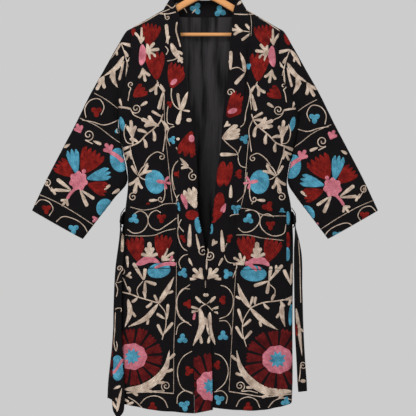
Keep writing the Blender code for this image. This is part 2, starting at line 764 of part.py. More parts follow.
def make_belt_end(side, name, back, back_inward):
    """One hanging end: round the side through its loop, then over and down."""
    middle = GAP + BELT_WALL / 2
    column = 1 if side == LEFT else -2
    at_back = slice(BELT_TOP_ROW, BELT_TOP_ROW + 2)
    start = back[at_back, column] - middle * back_inward[at_back, column]
    seam = side_x(BELT_TOP_DROP, side) + side * (middle + 1.0)
    step = (np.array([seam, 0, start[0, 2]]) - start[0]) * np.array([1, 1, 0])
    start = start + unit(step) * 0.8

    def beside(y, drop, out):
        return np.array([side_x(drop, side) + side * (middle + out), y, -drop])

    top, low = BELT_TOP_DROP, BELT_TOP_DROP + BELT_WIDTH
    turn = [
        (start[1], start[0]),
        (beside(2.5, low - 3, 1.0), beside(2.5, top + 3, 1.0)),
        (beside(-6, low - 4, 1.5), beside(-6, top + 6, 1.5)),
        (beside(-10, low - 4, 2.0), beside(-22, low - 24, 3.5)),
        (beside(-10, low - 2, 2.5), beside(-31, low - 2, 2.0)),
    ]
    ends = BELT_ENDS[side]
    hanging = [
        (
            np.array([ends["rear_x"][k], ends["rear_y"][k], -ends["drop"][k]]),
            np.array([ends["front_x"][k], ends["front_y"][k], -ends["drop"][k]]),
        )
        for k in range(len(ends["drop"]))
    ]
    edges = np.array(turn + hanging)
    share = np.linspace(0, 1, 3)[None, :, None]
    grid = edges[:, :1] + (edges[:, 1:] - edges[:, :1]) * share
    out = facing(grid_normals(grid), np.array([side * 1.0, -0.5, 0]))
    half = BELT_WALL / 2
    wall("belt_" + name, grid + out * half, grid - out * half, "cotton_black")


def make_belt_loop(side, name):
    """A cloth loop that stands off the side seam, so that the belt passes inside it."""
    share = np.linspace(0, 1, 9)
    drop = LOOP_TOP_DROP + LOOP_LENGTH * share
    stand = LOOP_STAND * np.clip(np.sin(math.pi * share), 0, 0.8) / 0.8
    base = side_x(drop, side) + side * (0.5 + stand)
    half = LOOP_HALF_WIDTH
    inner = np.stack([points(base, -half, drop), points(base, half, drop)], axis=1)
    across = np.array([side, 0, 0]) * LOOP_WALL
    outward = facing(seam_direction(inner[:, 0], 1), across)
    outward[0] = outward[-1] = unit(across)
    wall("belt_loop_" + name, inner + outward[:, None] * LOOP_WALL, inner, "cotton_black")


# The hanger


def arm_top(x):
    """The arms' top line, rounded where they meet under the hook."""
    droop = ARM_DROOP * (x / ARM_REACH) ** 4
    return ARM_TOP + RIDGE_FALL * (np.sqrt(x * x + 14.0**2) - 6.0) + droop


def make_hanger_arms(cutters):
    """The wooden arms: round on top, square below, with rounded ends. The bar and the hook's
    stem sit in bored holes."""
    x = ARM_REACH * np.sin(np.linspace(-math.pi / 2, math.pi / 2, 25))
    top = arm_top(x)
    end = np.sqrt(np.clip(1 - (np.abs(x) / (ARM_REACH + 1.0)) ** 24, 0, 1))
    height = ARM_MIDDLE_HEIGHT + (ARM_HEIGHT - ARM_MIDDLE_HEIGHT) * (np.abs(x) / ARM_REACH) ** 3
    middle, half_height = top + height / 2, height / 2 * (0.55 + 0.45 * end)
    angles = np.linspace(0, 2 * math.pi, 16, endpoint=False)
    across = np.sign(np.cos(angles)) * np.abs(np.cos(angles)) ** 0.55
    upright = np.sin(angles)
    y = ARM_HALF_THICK * (0.75 + 0.25 * end)[:, None] * across[None, :]
    drop = middle[:, None] - half_height[:, None] * upright[None, :]
    grid = points(x[:, None], y, drop)
    rows, cols = grid.shape[:2]
    faces = [
        (r * cols + c, (r + 1) * cols + c, (r + 1) * cols + (c + 1) % cols, r * cols + (c + 1) % cols)
        for r in range(rows - 1)
        for c in range(cols)
    ]
    last = (rows - 1) * cols
    faces += [tuple(range(cols)), tuple(last + c for c in range(cols))[::-1]]
    arms = make_solid("hanger_arms", grid.reshape(-1, 3), faces, "wood")
    holes = (
        ("bar_hole", BAR_RADIUS + GAP, 2 * (BAR_REACH + GAP), (0, 0, -BAR_DROP), (0, math.pi / 2, 0)),
        ("stem_hole", HOOK_WIRE + GAP, 60.0, (0, 0, -(STEM_END + GAP) + 30.0), (0, 0, 0)),
    )
    for name, radius, length, centre, turn in holes:
        cutter = make_cylinder(name, radius, length, centre, turn, 16)
        move_to(cutter, cutters)
        cutter.display_type = "WIRE"
        cutter.hide_render = True
        bore = arms.modifiers.new(name, "BOOLEAN")
        bore.operation = "DIFFERENCE"
        bore.object = cutter


def make_cylinder(name, radius, length, centre, turn, sides):
    bpy.ops.mesh.primitive_cylinder_add(
        vertices=sides,
        radius=radius * MM,
        depth=length * MM,
        location=[c * MM for c in centre],
        rotation=turn,
    )
    cylinder = bpy.context.object
    cylinder.name = cylinder.data.name = name
    return cylinder


def move_to(thing, collection):
    for old in list(thing.users_collection):
        old.objects.unlink(thing)
    collection.objects.link(thing)


def make_hanger_bar():
    bar = make_cylinder(
        "hanger_bar", BAR_RADIUS, 2 * BAR_REACH, (0, 0, -BAR_DROP), (0, math.pi / 2, 0), 16
    )
    bar.data.materials.append(materials["wood"])
    bar.data.shade_smooth()
    bar.data.set_sharp_from_angle(angle=math.radians(50))
    move_to(bar, parts)


def make_hanger_hook():
    """The wire hook: a straight stem, then most of a circle whose inside top is the origin."""
    bend = HOOK_INSIDE + HOOK_WIRE
    angles = np.radians(np.linspace(-52, 205, 27))
    arc = [(bend * math.cos(a), bend * math.sin(a) - HOOK_INSIDE) for a in angles]
    foot_x, foot_z = arc[0]
    stem = [(0.0, -STEM_END), (0.0, -80.0), (0.0, -64.0), (0.6, -56.0)]
    joint = [(foot_x * 0.30, foot_z - 11.5), (foot_x * 0.62, foot_z - 5.0)]
    path = stem + joint + arc
    curve = bpy.data.curves.new("hook_path", "CURVE")
    curve.dimensions = "3D"
    curve.bevel_depth = HOOK_WIRE * MM
    curve.bevel_resolution = 2
    curve.use_fill_caps = True
    spline = curve.splines.new("POLY")
    spline.points.add(len(path) - 1)
    for point, (x, z) in zip(spline.points, path):
        point.co = (x * MM, 0, z * MM, 1)
    hook = bpy.data.objects.new("hanger_hook", curve)
    parts.objects.link(hook)
    weld = hook.modifiers.new("caps", "WELD")
    weld.merge_threshold = 0.00002
    curve.materials.append(materials["steel"])


def make_collection(name):
    collection = bpy.data.collections.new(name)
    bpy.context.scene.collection.children.link(collection)
    return collection


for old in list(bpy.data.objects):
    bpy.data.objects.remove(old, do_unlink=True)

parts = make_collection("long_coat_on_hanger")
cutters = make_collection("cutters")
materials = {name: make_material(name) for name in MATERIALS}

back, back_inward = make_back()
for side, name in ((LEFT, "left"), (RIGHT, "right")):
    make_front(side, name)
    make_band(side, name)
    make_sleeve(side, name)
    make_belt_end(side, name, back, back_inward)
    make_belt_loop(side, name)
make_hanger_arms(cutters)
make_hanger_bar()
make_hanger_hook()
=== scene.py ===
# A black cotton long coat, chain-stitched all over, hanging open on a wooden hanger.
# Sizes are millimetres, made metres as each mesh is built. The front faces -Y and +Z is up.
# "Drop" is the depth below the hook's inside. Left and right are the viewer's.
import math

import bpy
import numpy as np
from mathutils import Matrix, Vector
from mathutils.bvhtree import BVHTree
from mathutils.geometry import delaunay_2d_cdt


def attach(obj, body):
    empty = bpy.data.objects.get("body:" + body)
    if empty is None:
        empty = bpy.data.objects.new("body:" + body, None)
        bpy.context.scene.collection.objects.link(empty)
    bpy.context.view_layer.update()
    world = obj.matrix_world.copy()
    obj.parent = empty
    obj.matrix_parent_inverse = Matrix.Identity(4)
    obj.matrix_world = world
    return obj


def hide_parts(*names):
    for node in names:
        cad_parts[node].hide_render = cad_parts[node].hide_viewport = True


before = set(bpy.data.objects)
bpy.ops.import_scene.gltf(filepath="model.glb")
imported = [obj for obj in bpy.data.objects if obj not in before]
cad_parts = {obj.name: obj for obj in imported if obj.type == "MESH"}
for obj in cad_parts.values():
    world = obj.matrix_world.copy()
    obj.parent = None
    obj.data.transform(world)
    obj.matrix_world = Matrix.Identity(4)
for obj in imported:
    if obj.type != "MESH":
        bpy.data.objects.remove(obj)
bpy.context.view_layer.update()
print("frame loaded")

mm = 0.001
left, right = -1, 1
front, back = -1, 1


# Tables and curves

def table(columns, *rows):
    return dict(zip(columns.split(), np.array(rows, float).T))


def smooth(x, xs, ys):  # a smooth curve through the points, level past its ends
    x = np.clip(np.asarray(x, float), xs[0], xs[-1])
    k = np.clip(np.searchsorted(xs, x, side="right") - 1, 0, len(xs) - 2)
    slopes = np.gradient(ys, xs)
    width = xs[k + 1] - xs[k]
    t = (x - xs[k]) / width
    return ((2 * t**3 - 3 * t**2 + 1) * ys[k] + (t**3 - 2 * t**2 + t) * width * slopes[k]
            + (3 * t**2 - 2 * t**3) * ys[k + 1] + (t**3 - t**2) * width * slopes[k + 1])


def ease(x):
    x = np.clip(x, 0.0, 1.0)
    return x * x * (3 - 2 * x)


def quarterRound(x):
    return np.sqrt(1 - (1 - np.clip(x, 0.0, 1.0)) ** 2)


def unit(vectors):
    return vectors / np.maximum(np.linalg.norm(vectors, axis=-1, keepdims=True), 1e-9)


def points(x, y, drop):
    return np.stack(np.broadcast_arrays(x, y, -np.asarray(drop, float)), axis=-1)


def gridNormals(grid, closed=False):
    down = np.gradient(grid, axis=0)
    if closed:
        across = np.roll(grid, -1, axis=1) - np.roll(grid, 1, axis=1)
    else:
        across = np.gradient(grid, axis=1)
    return unit(np.cross(down, across))


def facing(vectors, towards):
    return vectors * np.where((vectors * towards).sum(-1, keepdims=True) < 0, -1.0, 1.0)


# The coat's cut: its outline from the front, and how far the cloth stands out

coat = {
    "wall": 2.0, "gap": 0.3, "mesh": 4.5,
    "ridgeTop": 70.2, "ridgeFall": 0.58, "ridgeRound": 45.0,
    "neckX": 113.0, "shoulderX": 201.0, "underarmDrop": 430.0, "chestDrop": 420.0,
    "armholeDepth": 15.0, "tubePower": 2.8, "sideRound": 150.0, "shoulderRound": 60.0, "backHem": 1192.0,
}
neckDrop = coat["ridgeTop"] + coat["ridgeFall"] * coat["neckX"]
shoulderDrop = coat["ridgeTop"] + coat["ridgeFall"] * coat["shoulderX"]
sides = table(
    "drop left right",
    (186.8, -201, 201), (270, -203, 200), (326, -215, 210), (389, -234, 242), (430, -235.5, 256),
    (473, -232.5, 253), (520, -222.5, 240), (560, -213, 229), (609, -209.5, 223), (664, -215, 233),
    (740, -226, 239), (835, -241, 239.5), (966, -247.5, 238), (1055, -253.5, 238),
    (1156, -264, 238), (1205, -266, 236))
depths = table(
    "drop front back",
    (130, 20, 26), (200, 27, 27), (300, 38, 32), (450, 46, 36), (600, 50, 38), (800, 52, 40),
    (1000, 55, 42), (1220, 58, 44))
bands = table(
    "drop leftSeam leftEdge rightSeam rightEdge",
    (135.7, -113, -73, 113, 74), (160, -113, -69, 120, 73.5), (190, -113, -67, 121, 72),
    (270, -108, -58.5, 112.5, 64), (340, -97.5, -50, 108, 59), (400, -88, -38, 100, 51),
    (456, -82, -33, 94.5, 45.5), (512, -74, -25, 91, 42), (587, -69, -20, 80, 31),
    (677, -66, -18, 69.5, 21.5), (783, -47.5, 0, 54.5, 6.5), (876, -39.5, 1.5, 42.5, -5),
    (932, -37, 4, 37.5, -10.5), (1054, -31.5, 17.5, 26.5, -21), (1225, -27.5, 21.5, 18.5, -29))
bandRoll = table(
    "seamDrop edgeDrop",
    (135.7, 93), (164, 126), (192, 160), (221, 195), (249, 232), (278, 268), (320, 317), (350, 350))
frontFolds = table(
    "x drop endX endDrop depth width",
    (-114, 280, -86, 790, 12, 14), (117, 170, 122, 660, 11, 10), (86, 600, 80, 850, 7, 14),
    (-216, 350, -180, 520, 7, 11), (222, 380, 190, 560, 6, 11), (-95, 880, -84, 1240, 5, 17),
    (-175, 930, -180, 1240, 5, 18), (104, 900, 98, 1240, 5, 17), (182, 860, 190, 1240, 6, 16))
backFolds = table(
    "x drop endX endDrop depth width",
    (-150, 250, -120, 620, 6, 18), (150, 250, 125, 620, 6, 18), (-40, 240, -35, 640, 4, 20),
    (-165, 760, -170, 1240, 7, 20), (-75, 740, -80, 1240, 6, 20), (20, 740, 15, 1240, 7, 20),
    (105, 760, 118, 1240, 6, 20), (185, 800, 195, 1240, 5, 18))
creases = table(  # smaller pulls and wrinkles, on both fronts
    "x drop endX endDrop depth width",
    (-190, 300, -128, 470, 2.4, 7), (-206, 420, -150, 610, 2.2, 8), (-150, 250, -132, 420, 2.0, 8),
    (-196, 560, -120, 640, 1.6, 8), (-175, 700, -120, 880, 1.2, 9), (-214, 650, -196, 900, 2.2, 8),
    (-62, 700, -52, 1000, 2.0, 8), (-130, 960, -136, 1230, 2.0, 10), (-222, 900, -226, 1200, 2.4, 9),
    (190, 300, 140, 480, 2.2, 7), (215, 430, 160, 620, 2.2, 8), (150, 240, 146, 420, 2.0, 8),
    (205, 560, 130, 660, 1.6, 8), (110, 700, 180, 900, 1.2, 9), (216, 660, 208, 930, 2.2, 8),
    (60, 720, 52, 1000, 2.0, 8), (142, 960, 148, 1230, 2.0, 10), (218, 940, 214, 1200, 2.2, 9),
    (-92, 380, -74, 640, 2.2, 7), (97, 420, 84, 640, 2.2, 7))
fronts = {
    left: {"hem": {"side": 1187.0, "seam": 1218.6, "edge": 1209.4, "sag": 6.0}, "recess": 0.0},
    right: {"hem": {"side": 1202.0, "seam": 1204.4, "edge": 1206.0, "sag": 9.0}, "recess": 5.5},
}


def sideX(drop, side):
    return smooth(drop, sides["drop"], sides["left" if side == left else "right"])


def ridgeDrop(x):
    return coat["ridgeTop"] + coat["ridgeFall"] * np.abs(x)


def tubeRound(angle):
    power = coat["tubePower"]
    return (1 - np.abs(np.cos(angle)) ** power) ** (1 / power)


def armholeDrop(angle):
    return (coat["underarmDrop"] + shoulderDrop - (coat["underarmDrop"] - shoulderDrop) * np.cos(angle)) / 2


def armholeDepth(drop):
    across = (coat["underarmDrop"] + shoulderDrop) / 2 - np.asarray(drop, float)
    angle = np.arccos(np.clip(across / ((coat["underarmDrop"] - shoulderDrop) / 2), -1, 1))
    return coat["armholeDepth"] * tubeRound(angle)


def sink(x, drop, troughs):  # how far the folds of a table sink the cloth
    total = np.zeros(np.broadcast(x, drop).shape)
    for x0, drop0, x1, drop1, depth, width in zip(*troughs.values()):
        along = (drop - drop0) / (drop1 - drop0)
        fade = ease(along / 0.25) * ease((1.0 - along) / 0.25)
        if drop1 > coat["backHem"]:
            fade = ease(along / 0.4)
        total = total + depth * fade * np.exp(-(((x - x0 - along * (x1 - x0)) / width) ** 2))
    return total


def ripple(x, drop, size):  # low unevenness, as cloth full of stitching has
    broad = np.sin(x / 23 + drop / 61) * np.sin(drop / 37 - x / 50 + 1)
    fine = np.sin(x / 9 - drop / 26) * np.sin(drop / 17 + x / 31 + 2)
    return size * (broad + 0.5 * fine)


def standOut(x, drop, which):
    x, drop = np.broadcast_arrays(np.asarray(x, float), np.asarray(drop, float))
    name, troughs = ("front", frontFolds) if which == front else ("back", backFolds)
    crest = quarterRound((drop - ridgeDrop(x)) / coat["ridgeRound"])
    full = smooth(drop, depths["drop"], depths[name]) * crest
    fromSide = np.where(x < 0, x - sideX(drop, left), sideX(drop, right) - x)
    edge = np.minimum(armholeDepth(drop), full)
    drape = ease((drop - shoulderDrop) / (coat["underarmDrop"] - shoulderDrop))
    sideRound = coat["shoulderRound"] + (coat["sideRound"] - coat["shoulderRound"]) * drape
    depth = edge + (full - edge) * quarterRound(fromSide / sideRound)
    still = ease(fromSide / 45) * ease((drop - ridgeDrop(x)) / 70)
    depth = depth - still * sink(x, drop, troughs) - ease(fromSide / 20) * ripple(x, drop, 0.7)
    if which == front:
        depth = depth - ease(fromSide / 14) * sink(x, drop, creases)
    return depth


def recess(x, drop, side):  # the right front lies under the left one where they cross
    return fronts[side]["recess"] * ease((drop - 715) / 60) * ease((115 - x) / 55)


# Meshes

collection = bpy.data.collections.new("dressedCoat")
bpy.context.scene.collection.children.link(collection)


def makeMesh(name, vertices, faces, material, angle=60, uvs=None):
    mesh = bpy.data.meshes.new(name)
    mesh.from_pydata((np.asarray(vertices) * mm).tolist(), [], faces)
    mesh.materials.append(materials[material])
    mesh.shade_smooth()
    mesh.set_sharp_from_angle(angle=math.radians(angle))
    if uvs is not None:
        layer = mesh.uv_layers.new(name="stitch")
        loops = np.empty(len(mesh.loops), int)
        mesh.loops.foreach_get("vertex_index", loops)
        layer.data.foreach_set("uv", np.asarray(uvs)[loops].ravel())
    thing = bpy.data.objects.new(name, mesh)
    collection.objects.link(thing)
    return thing


def cells(index):  # the corners of each cell in a grid of point numbers
    return index[:-1, :-1], index[1:, :-1], index[1:, 1:], index[:-1, 1:]


def wall(name, grid, inward, thickness, material, closed=False):  # two layers, joined round their rims
    rows, cols = grid.shape[:2]
    inner = grid + inward * thickness
    index = np.arange(rows * cols).reshape(rows, cols)
    if closed:
        index = np.concatenate([index, index[:, :1]], axis=1)
    quads = np.stack(cells(index), -1).reshape(-1, 4)
    shift = rows * cols
    faces = np.concatenate([quads, quads[:, ::-1] + shift])
    rims = [(index[0, 1:], index[0, :-1]), (index[-1, :-1], index[-1, 1:])]
    if not closed:
        rims += [(index[:-1, 0], index[1:, 0]), (index[1:, -1], index[:-1, -1])]
    for p, q in rims:
        faces = np.concatenate([faces, np.stack([p, q, q + shift, p + shift], -1)])
    ahead = np.cross(grid[1, 0] - grid[0, 0], grid[0, 1] - grid[0, 0])
    if (ahead * inward[0, 0]).sum() > 0:
        faces = faces[:, ::-1]
    vertices = np.concatenate([grid.reshape(-1, 3), inner.reshape(-1, 3)])
    return makeMesh(name, vertices, faces.tolist(), material)


# Materials

materials = {}
# shadow is how strongly painted shade darkens each cloth's colour along its creases
finishes = {
    "cottonBlack": {"colour": (0.0016, 0.0012, 0.0018), "fleck": (0.0120, 0.0104, 0.0112),
                    "roughness": 0.94, "sheen": 0.005, "pitch": 0.0007, "bump": 0.25, "creases": 14.0,
                    "shadow": 0.3},
    "liningBlack": {"colour": (0.030, 0.028, 0.030), "fleck": (0.056, 0.052, 0.054),
                    "roughness": 0.8, "sheen": 0.02, "pitch": 0.0005, "bump": 0.7, "creases": 70.0,
                    "shadow": 0.9},
}
# each thread has a shaded copy (painted shade), its own colour, and a lit copy (painted highlight)
threads = {
    "threadCream": {"deep": (0.15, 0.095, 0.065), "colour": (0.48, 0.365, 0.28),
                    "light": (0.94, 0.79, 0.66)},
    "threadRed": {"deep": (0.026, 0.0012, 0.0016), "colour": (0.12, 0.0055, 0.0050),
                  "light": (0.36, 0.020, 0.013)},
    "threadWine": {"deep": (0.017, 0.0010, 0.0018), "colour": (0.070, 0.0040, 0.0050),
                   "light": (0.20, 0.014, 0.013)},
    "threadBlue": {"deep": (0.014, 0.070, 0.11), "colour": (0.050, 0.235, 0.34),
                   "light": (0.135, 0.47, 0.64)},
    "threadPink": {"deep": (0.22, 0.045, 0.065), "colour": (0.48, 0.120, 0.165),
                   "light": (0.78, 0.30, 0.36)},
}
stitch = {"rowPitch": 1.7, "loopPitch": 2.4, "bump": 0.5, "depth": 0.0007}
waveTurn = 0.314  # the scale at which a wave texture repeats once in one unit


def newMaterial(name, roughness, sheen=0.0, metallic=0.0):
    material = bpy.data.materials.new(name)
    material.use_nodes = True
    nodes = material.node_tree.nodes
    shader = nodes["Principled BSDF"]
    shader.inputs["Roughness"].default_value = roughness
    shader.inputs["Metallic"].default_value = metallic
    shader.inputs["Sheen Weight"].default_value = sheen
    shader.inputs["Sheen Roughness"].default_value = 0.6
    shader.inputs["Specular IOR Level"].default_value = 0.07 if metallic == 0 else 0.5
    materials[name] = material
    return material, shader


def addNode(material, kind, settings=None, **inputs):
    node = material.node_tree.nodes.new("ShaderNode" + kind)
    for key, value in (settings or {}).items():
        setattr(node, key, value)
    for key, value in inputs.items():
        socket = node.inputs[key.replace("_", " ")]
        if hasattr(value, "is_linked"):
            material.node_tree.links.new(value, socket)
        else:
            socket.default_value = value
    return node


def mixColours(material, share, low, high, blend="MIX"):
    node = material.node_tree.nodes.new("ShaderNodeMix")
    node.data_type, node.blend_type = "RGBA", blend
    for socket, value in ((node.inputs[0], share), (node.inputs[6], low), (node.inputs[7], high)):
        if hasattr(value, "is_linked"):
            material.node_tree.links.new(value, socket)
        else:
            socket.default_value = (*value, 1.0) if isinstance(value, tuple) else value
    return node.outputs[2]


def finishWith(material, shader, colour, height, strength, depth, roughness=None):
    link = material.node_tree.links.new
    link(colour, shader.inputs["Base Color"])
    bump = addNode(material, "Bump", Strength=strength, Distance=depth, Height=height)
    link(bump.outputs["Normal"], shader.inputs["Normal"])
    if roughness is not None:
        link(roughness, shader.inputs["Roughness"])


def makeCloth(name, look):  # a plain weave, a little uneven in colour and lightly fluffy
    material, shader = newMaterial(name, look["roughness"], look["sheen"])
    place = addNode(material, "TexCoord").outputs["Object"]
    warp, weft = (addNode(material, "TexWave", {"bands_direction": way}, Vector=place,
                          Scale=waveTurn / look["pitch"], Distortion=1.2, Detail=1.0) for way in "XZ")
    weave = addNode(material, "Math", {"operation": "MULTIPLY"})
    material.node_tree.links.new(warp.outputs["Fac"], weave.inputs[0])
    material.node_tree.links.new(weft.outputs["Fac"], weave.inputs[1])
    patch = addNode(material, "TexNoise", Vector=place, Scale=28.0, Detail=5.0, Roughness=0.65)
    fluff = addNode(material, "TexNoise", Vector=place, Scale=420.0, Detail=3.0, Roughness=0.7)
    worn = mixColours(material, patch.outputs["Fac"], look["colour"], look["fleck"])
    colour = mixColours(material, fluff.outputs["Fac"], look["colour"], worn)
    rough = addNode(material, "MapRange", Value=patch.outputs["Fac"], To_Min=look["roughness"] - 0.1,
                    To_Max=0.98)
    hung = addNode(material, "Mapping", Vector=place, Scale=(1.0, 1.0, 0.10))
    creases = addNode(material, "TexNoise", Vector=hung.outputs["Vector"], Scale=42.0, Detail=3.0)
    # painted shade: where the stretched crease noise is low, the colour is darkened towards near black, as
    # if the creases lay in shade; the same noise also bumps the cloth
    shadow = addNode(material, "MapRange", Value=creases.outputs["Fac"], From_Min=0.38, From_Max=0.55,
                     To_Min=look["shadow"], To_Max=0.0)
    colour = mixColours(material, shadow.outputs["Result"], colour, (0.004, 0.0036, 0.0042))
    height = addNode(material, "Math", {"operation": "MULTIPLY_ADD"})
    material.node_tree.links.new(creases.outputs["Fac"], height.inputs[0])
    height.inputs[1].default_value = look["creases"]
    material.node_tree.links.new(weave.outputs["Value"], height.inputs[2])
    finishWith(material, shader, colour, height.outputs["Value"], look["bump"], 0.0004,
               rough.outputs["Result"])


def makeThread(name, look):  # rows of chain stitches, following the way each shape was filled
    material, shader = newMaterial(name, 0.8, 0.0)
    along = addNode(material, "UVMap", {"uv_map": "stitch"}).outputs["UV"]
    rows = addNode(material, "TexWave", {"bands_direction": "X"}, Vector=along,
                   Scale=waveTurn / stitch["rowPitch"], Distortion=1.2, Detail=2.0, Detail_Scale=0.8)
    loops = addNode(material, "TexWave", {"bands_direction": "Y"}, Vector=along,
                    Scale=waveTurn / stitch["loopPitch"], Distortion=2.5, Detail=2.0, Detail_Scale=0.8)
    # painted highlight: noise stretched along the stitches lifts the colour towards the thread's lit copy
    stretched = addNode(material, "Mapping", Vector=along, Scale=(0.36, 0.075, 1.0))
    highlightNoise = addNode(material, "TexNoise", Vector=stretched.outputs["Vector"], Scale=1.0,
                      Detail=4.0, Roughness=0.62)
    place = addNode(material, "TexCoord").outputs["Object"]
    # darker in random patches, mixed towards the thread's shaded copy
    mottle = addNode(material, "TexNoise", Vector=place, Scale=55.0, Detail=4.0)
    highlightStreak = addNode(material, "MapRange", Value=highlightNoise.outputs["Fac"], From_Min=0.32, From_Max=0.68)
    body = mixColours(material, highlightStreak.outputs["Result"], look["colour"], look["light"])
    patchy = addNode(material, "MapRange", Value=mottle.outputs["Fac"], From_Min=0.35, From_Max=0.7,
                     To_Max=0.7)
    # painted shade: the grooves between stitch rows take the thread's shaded copy
    grooveShade = addNode(material, "MapRange", Value=rows.outputs["Fac"], From_Max=0.35)
    body = mixColours(material, grooveShade.outputs["Result"], look["deep"], body)
    body = mixColours(material, patchy.outputs["Result"], body, look["deep"])
    height = addNode(material, "Math", {"operation": "MULTIPLY_ADD"})
    material.node_tree.links.new(loops.outputs["Fac"], height.inputs[0])
    height.inputs[1].default_value = 0.35
    material.node_tree.links.new(rows.outputs["Fac"], height.inputs[2])
    finishWith(material, shader, body, height.outputs["Value"], stitch["bump"], stitch["depth"])


def makeWood():
    material, shader = newMaterial("wood", 0.38)
    place = addNode(material, "TexCoord").outputs["Object"]
    stretched = addNode(material, "Mapping", Vector=place, Scale=(5.0, 60.0, 60.0))
    grain = addNode(material, "TexNoise", Vector=stretched.outputs["Vector"], Scale=3.0, Detail=6.0,
                    Distortion=0.8)
    rings = addNode(material, "TexWave", {"bands_direction": "Z"}, Vector=stretched.outputs["Vector"],
                    Scale=0.9, Distortion=4.0, Detail=3.0)
    colour = mixColours(material, grain.outputs["Fac"], (0.38, 0.150, 0.050), (0.70, 0.36, 0.15))
    colour = mixColours(material, rings.outputs["Fac"], colour, (0.60, 0.28, 0.105))
    finishWith(material, shader, colour, grain.outputs["Fac"], 0.12, 0.0004)


def makeSteel():
    material, shader = newMaterial("steel", 0.3, metallic=1.0)
    place = addNode(material, "TexCoord").outputs["Object"]
    scuffs = addNode(material, "TexNoise", Vector=place, Scale=300.0, Detail=4.0)
    colour = mixColours(material, scuffs.outputs["Fac"], (0.50, 0.51, 0.53), (0.72, 0.73, 0.75))
    finishWith(material, shader, colour, scuffs.outputs["Fac"], 0.05, 0.0002)


for name, look in finishes.items():
    makeCloth(name, look)
for name, look in threads.items():
    makeThread(name, look)
makeWood()
makeSteel()
print("materials made")


def settle(piece, material, *nodes):  # what a finished piece rides on, and what it stands for; its material is not used
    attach(piece, "root")
    if nodes:
        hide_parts(*nodes)
    return piece


def makePanel(label, node, grid, inward, thickness, material="cottonBlack", closed=False):
    return settle(wall(label, grid, inward, thickness, material, closed), material, node)


# Fronts

def spaced(length):
    return max(int(round(length / coat["mesh"])), 2)


def seamOf(side):
    return bands["leftSeam" if side == left else "rightSeam"]


def frontSurface(x, drop, side, out=0.0):
    return recess(x, drop, side) - standOut(x, drop, front) - out


def frontRows(side):  # drops down the side and down the band's seam, level at the chest
    hem, under, chest = fronts[side]["hem"], coat["underarmDrop"], coat["chestDrop"]
    arm = np.linspace(0, 1, spaced(300) + 1)
    down = np.linspace(0, 1, spaced(790) + 1)[1:]
    sideDrop = np.concatenate([armholeDrop(math.pi * arm), under + (hem["side"] - under) * down])
    seamDrop = np.concatenate([neckDrop + (chest - neckDrop) * arm**1.5,
                               chest + (hem["seam"] - chest) * down])
    return sideDrop, seamDrop


def makeFront(side, name):
    sideDrop, seamDrop = frontRows(side)
    seam, edge = smooth(seamDrop, bands["drop"], seamOf(side)), sideX(sideDrop, side)
    share = np.linspace(0, 1, spaced(190) + 1)[None, :] ** 1.15
    x = edge[:, None] + (seam - edge)[:, None] * share
    drop = sideDrop[:, None] + (seamDrop - sideDrop)[:, None] * share
    drop = drop + fronts[side]["hem"]["sag"] * ease((drop - 850) / 340) * 4 * share * (1 - share)
    y = frontSurface(x, drop, side)
    armRows = sideDrop <= coat["underarmDrop"] + 0.01
    y[:, 0] = np.where(armRows, -armholeDepth(sideDrop), 0.0)
    y[0, :] = 0.0
    y = np.minimum(y, -coat["gap"] / 2)
    x[:, -1] += side * coat["gap"] / 2
    x[armRows, 0] -= side * coat["gap"] / 2
    grid = points(x, y, drop)
    inward = facing(gridNormals(grid), np.array([0, 1.0, 0]))
    inward[0, :] = unit(np.array([-side * coat["ridgeFall"], 0.0, -1.0]))
    inward[:, 0] = (-side, 0, 0)
    inward[:, -1] = unit(inward[:, -1] * np.array([0, 1, 1]))
    piece = makePanel("front." + name, "front_" + name, grid, inward, coat["wall"])
    return piece


pockets = {  # corners as x and drop, from the top outer one round by the hem
    left: [(-208.5, 671), (-209.5, 835), (-73.5, 835), (-73.5, 658)],
    right: [(219, 687), (218.5, 838), (82, 838), (82.5, 674.5)],
}
pocket = {"wall": 2.0, "lift": 0.5, "width": 137.0, "height": 165.0, "mouthBulge": 8.5, "mouthReach": 128.0}


def makePocket(side, name):
    topOuter, bottomOuter, bottomInner, topInner = (np.array(corner, float) for corner in pockets[side])
    down = np.linspace(0, 1, spaced(pocket["height"]) + 1)[:, None, None]
    across = np.linspace(0, 1, spaced(pocket["width"]) + 1)[None, :, None]
    flat = ((topOuter + (topInner - topOuter) * across) * (1 - down)
            + (bottomOuter + (bottomInner - bottomOuter) * across) * down)
    x, drop = flat[..., 0], flat[..., 1]
    fall = np.clip(1 - (down[..., 0] * pocket["height"]) / pocket["mouthReach"], 0, 1)
    bulge = pocket["mouthBulge"] * np.sin(math.pi * across[..., 0]) * fall**2
    rim = np.minimum(np.minimum(across[..., 0], 1 - across[..., 0]) * pocket["width"],
                     (1 - down[..., 0]) * pocket["height"])
    y = frontSurface(x, drop, side, pocket["lift"] + pocket["wall"] + 0.6 * ease(rim / 5)) - bulge
    grid = points(x, y, drop)
    inward = facing(gridNormals(grid), np.array([0, 1.0, 0]))
    piece = makePanel("pocket." + name, "pocket_" + name, grid, inward, pocket["wall"])
    return piece


band = {"wall": 3.0, "crown": 0.9, "topX": 88.0, "topDrop": 93.0, "rollRound": 62.0}


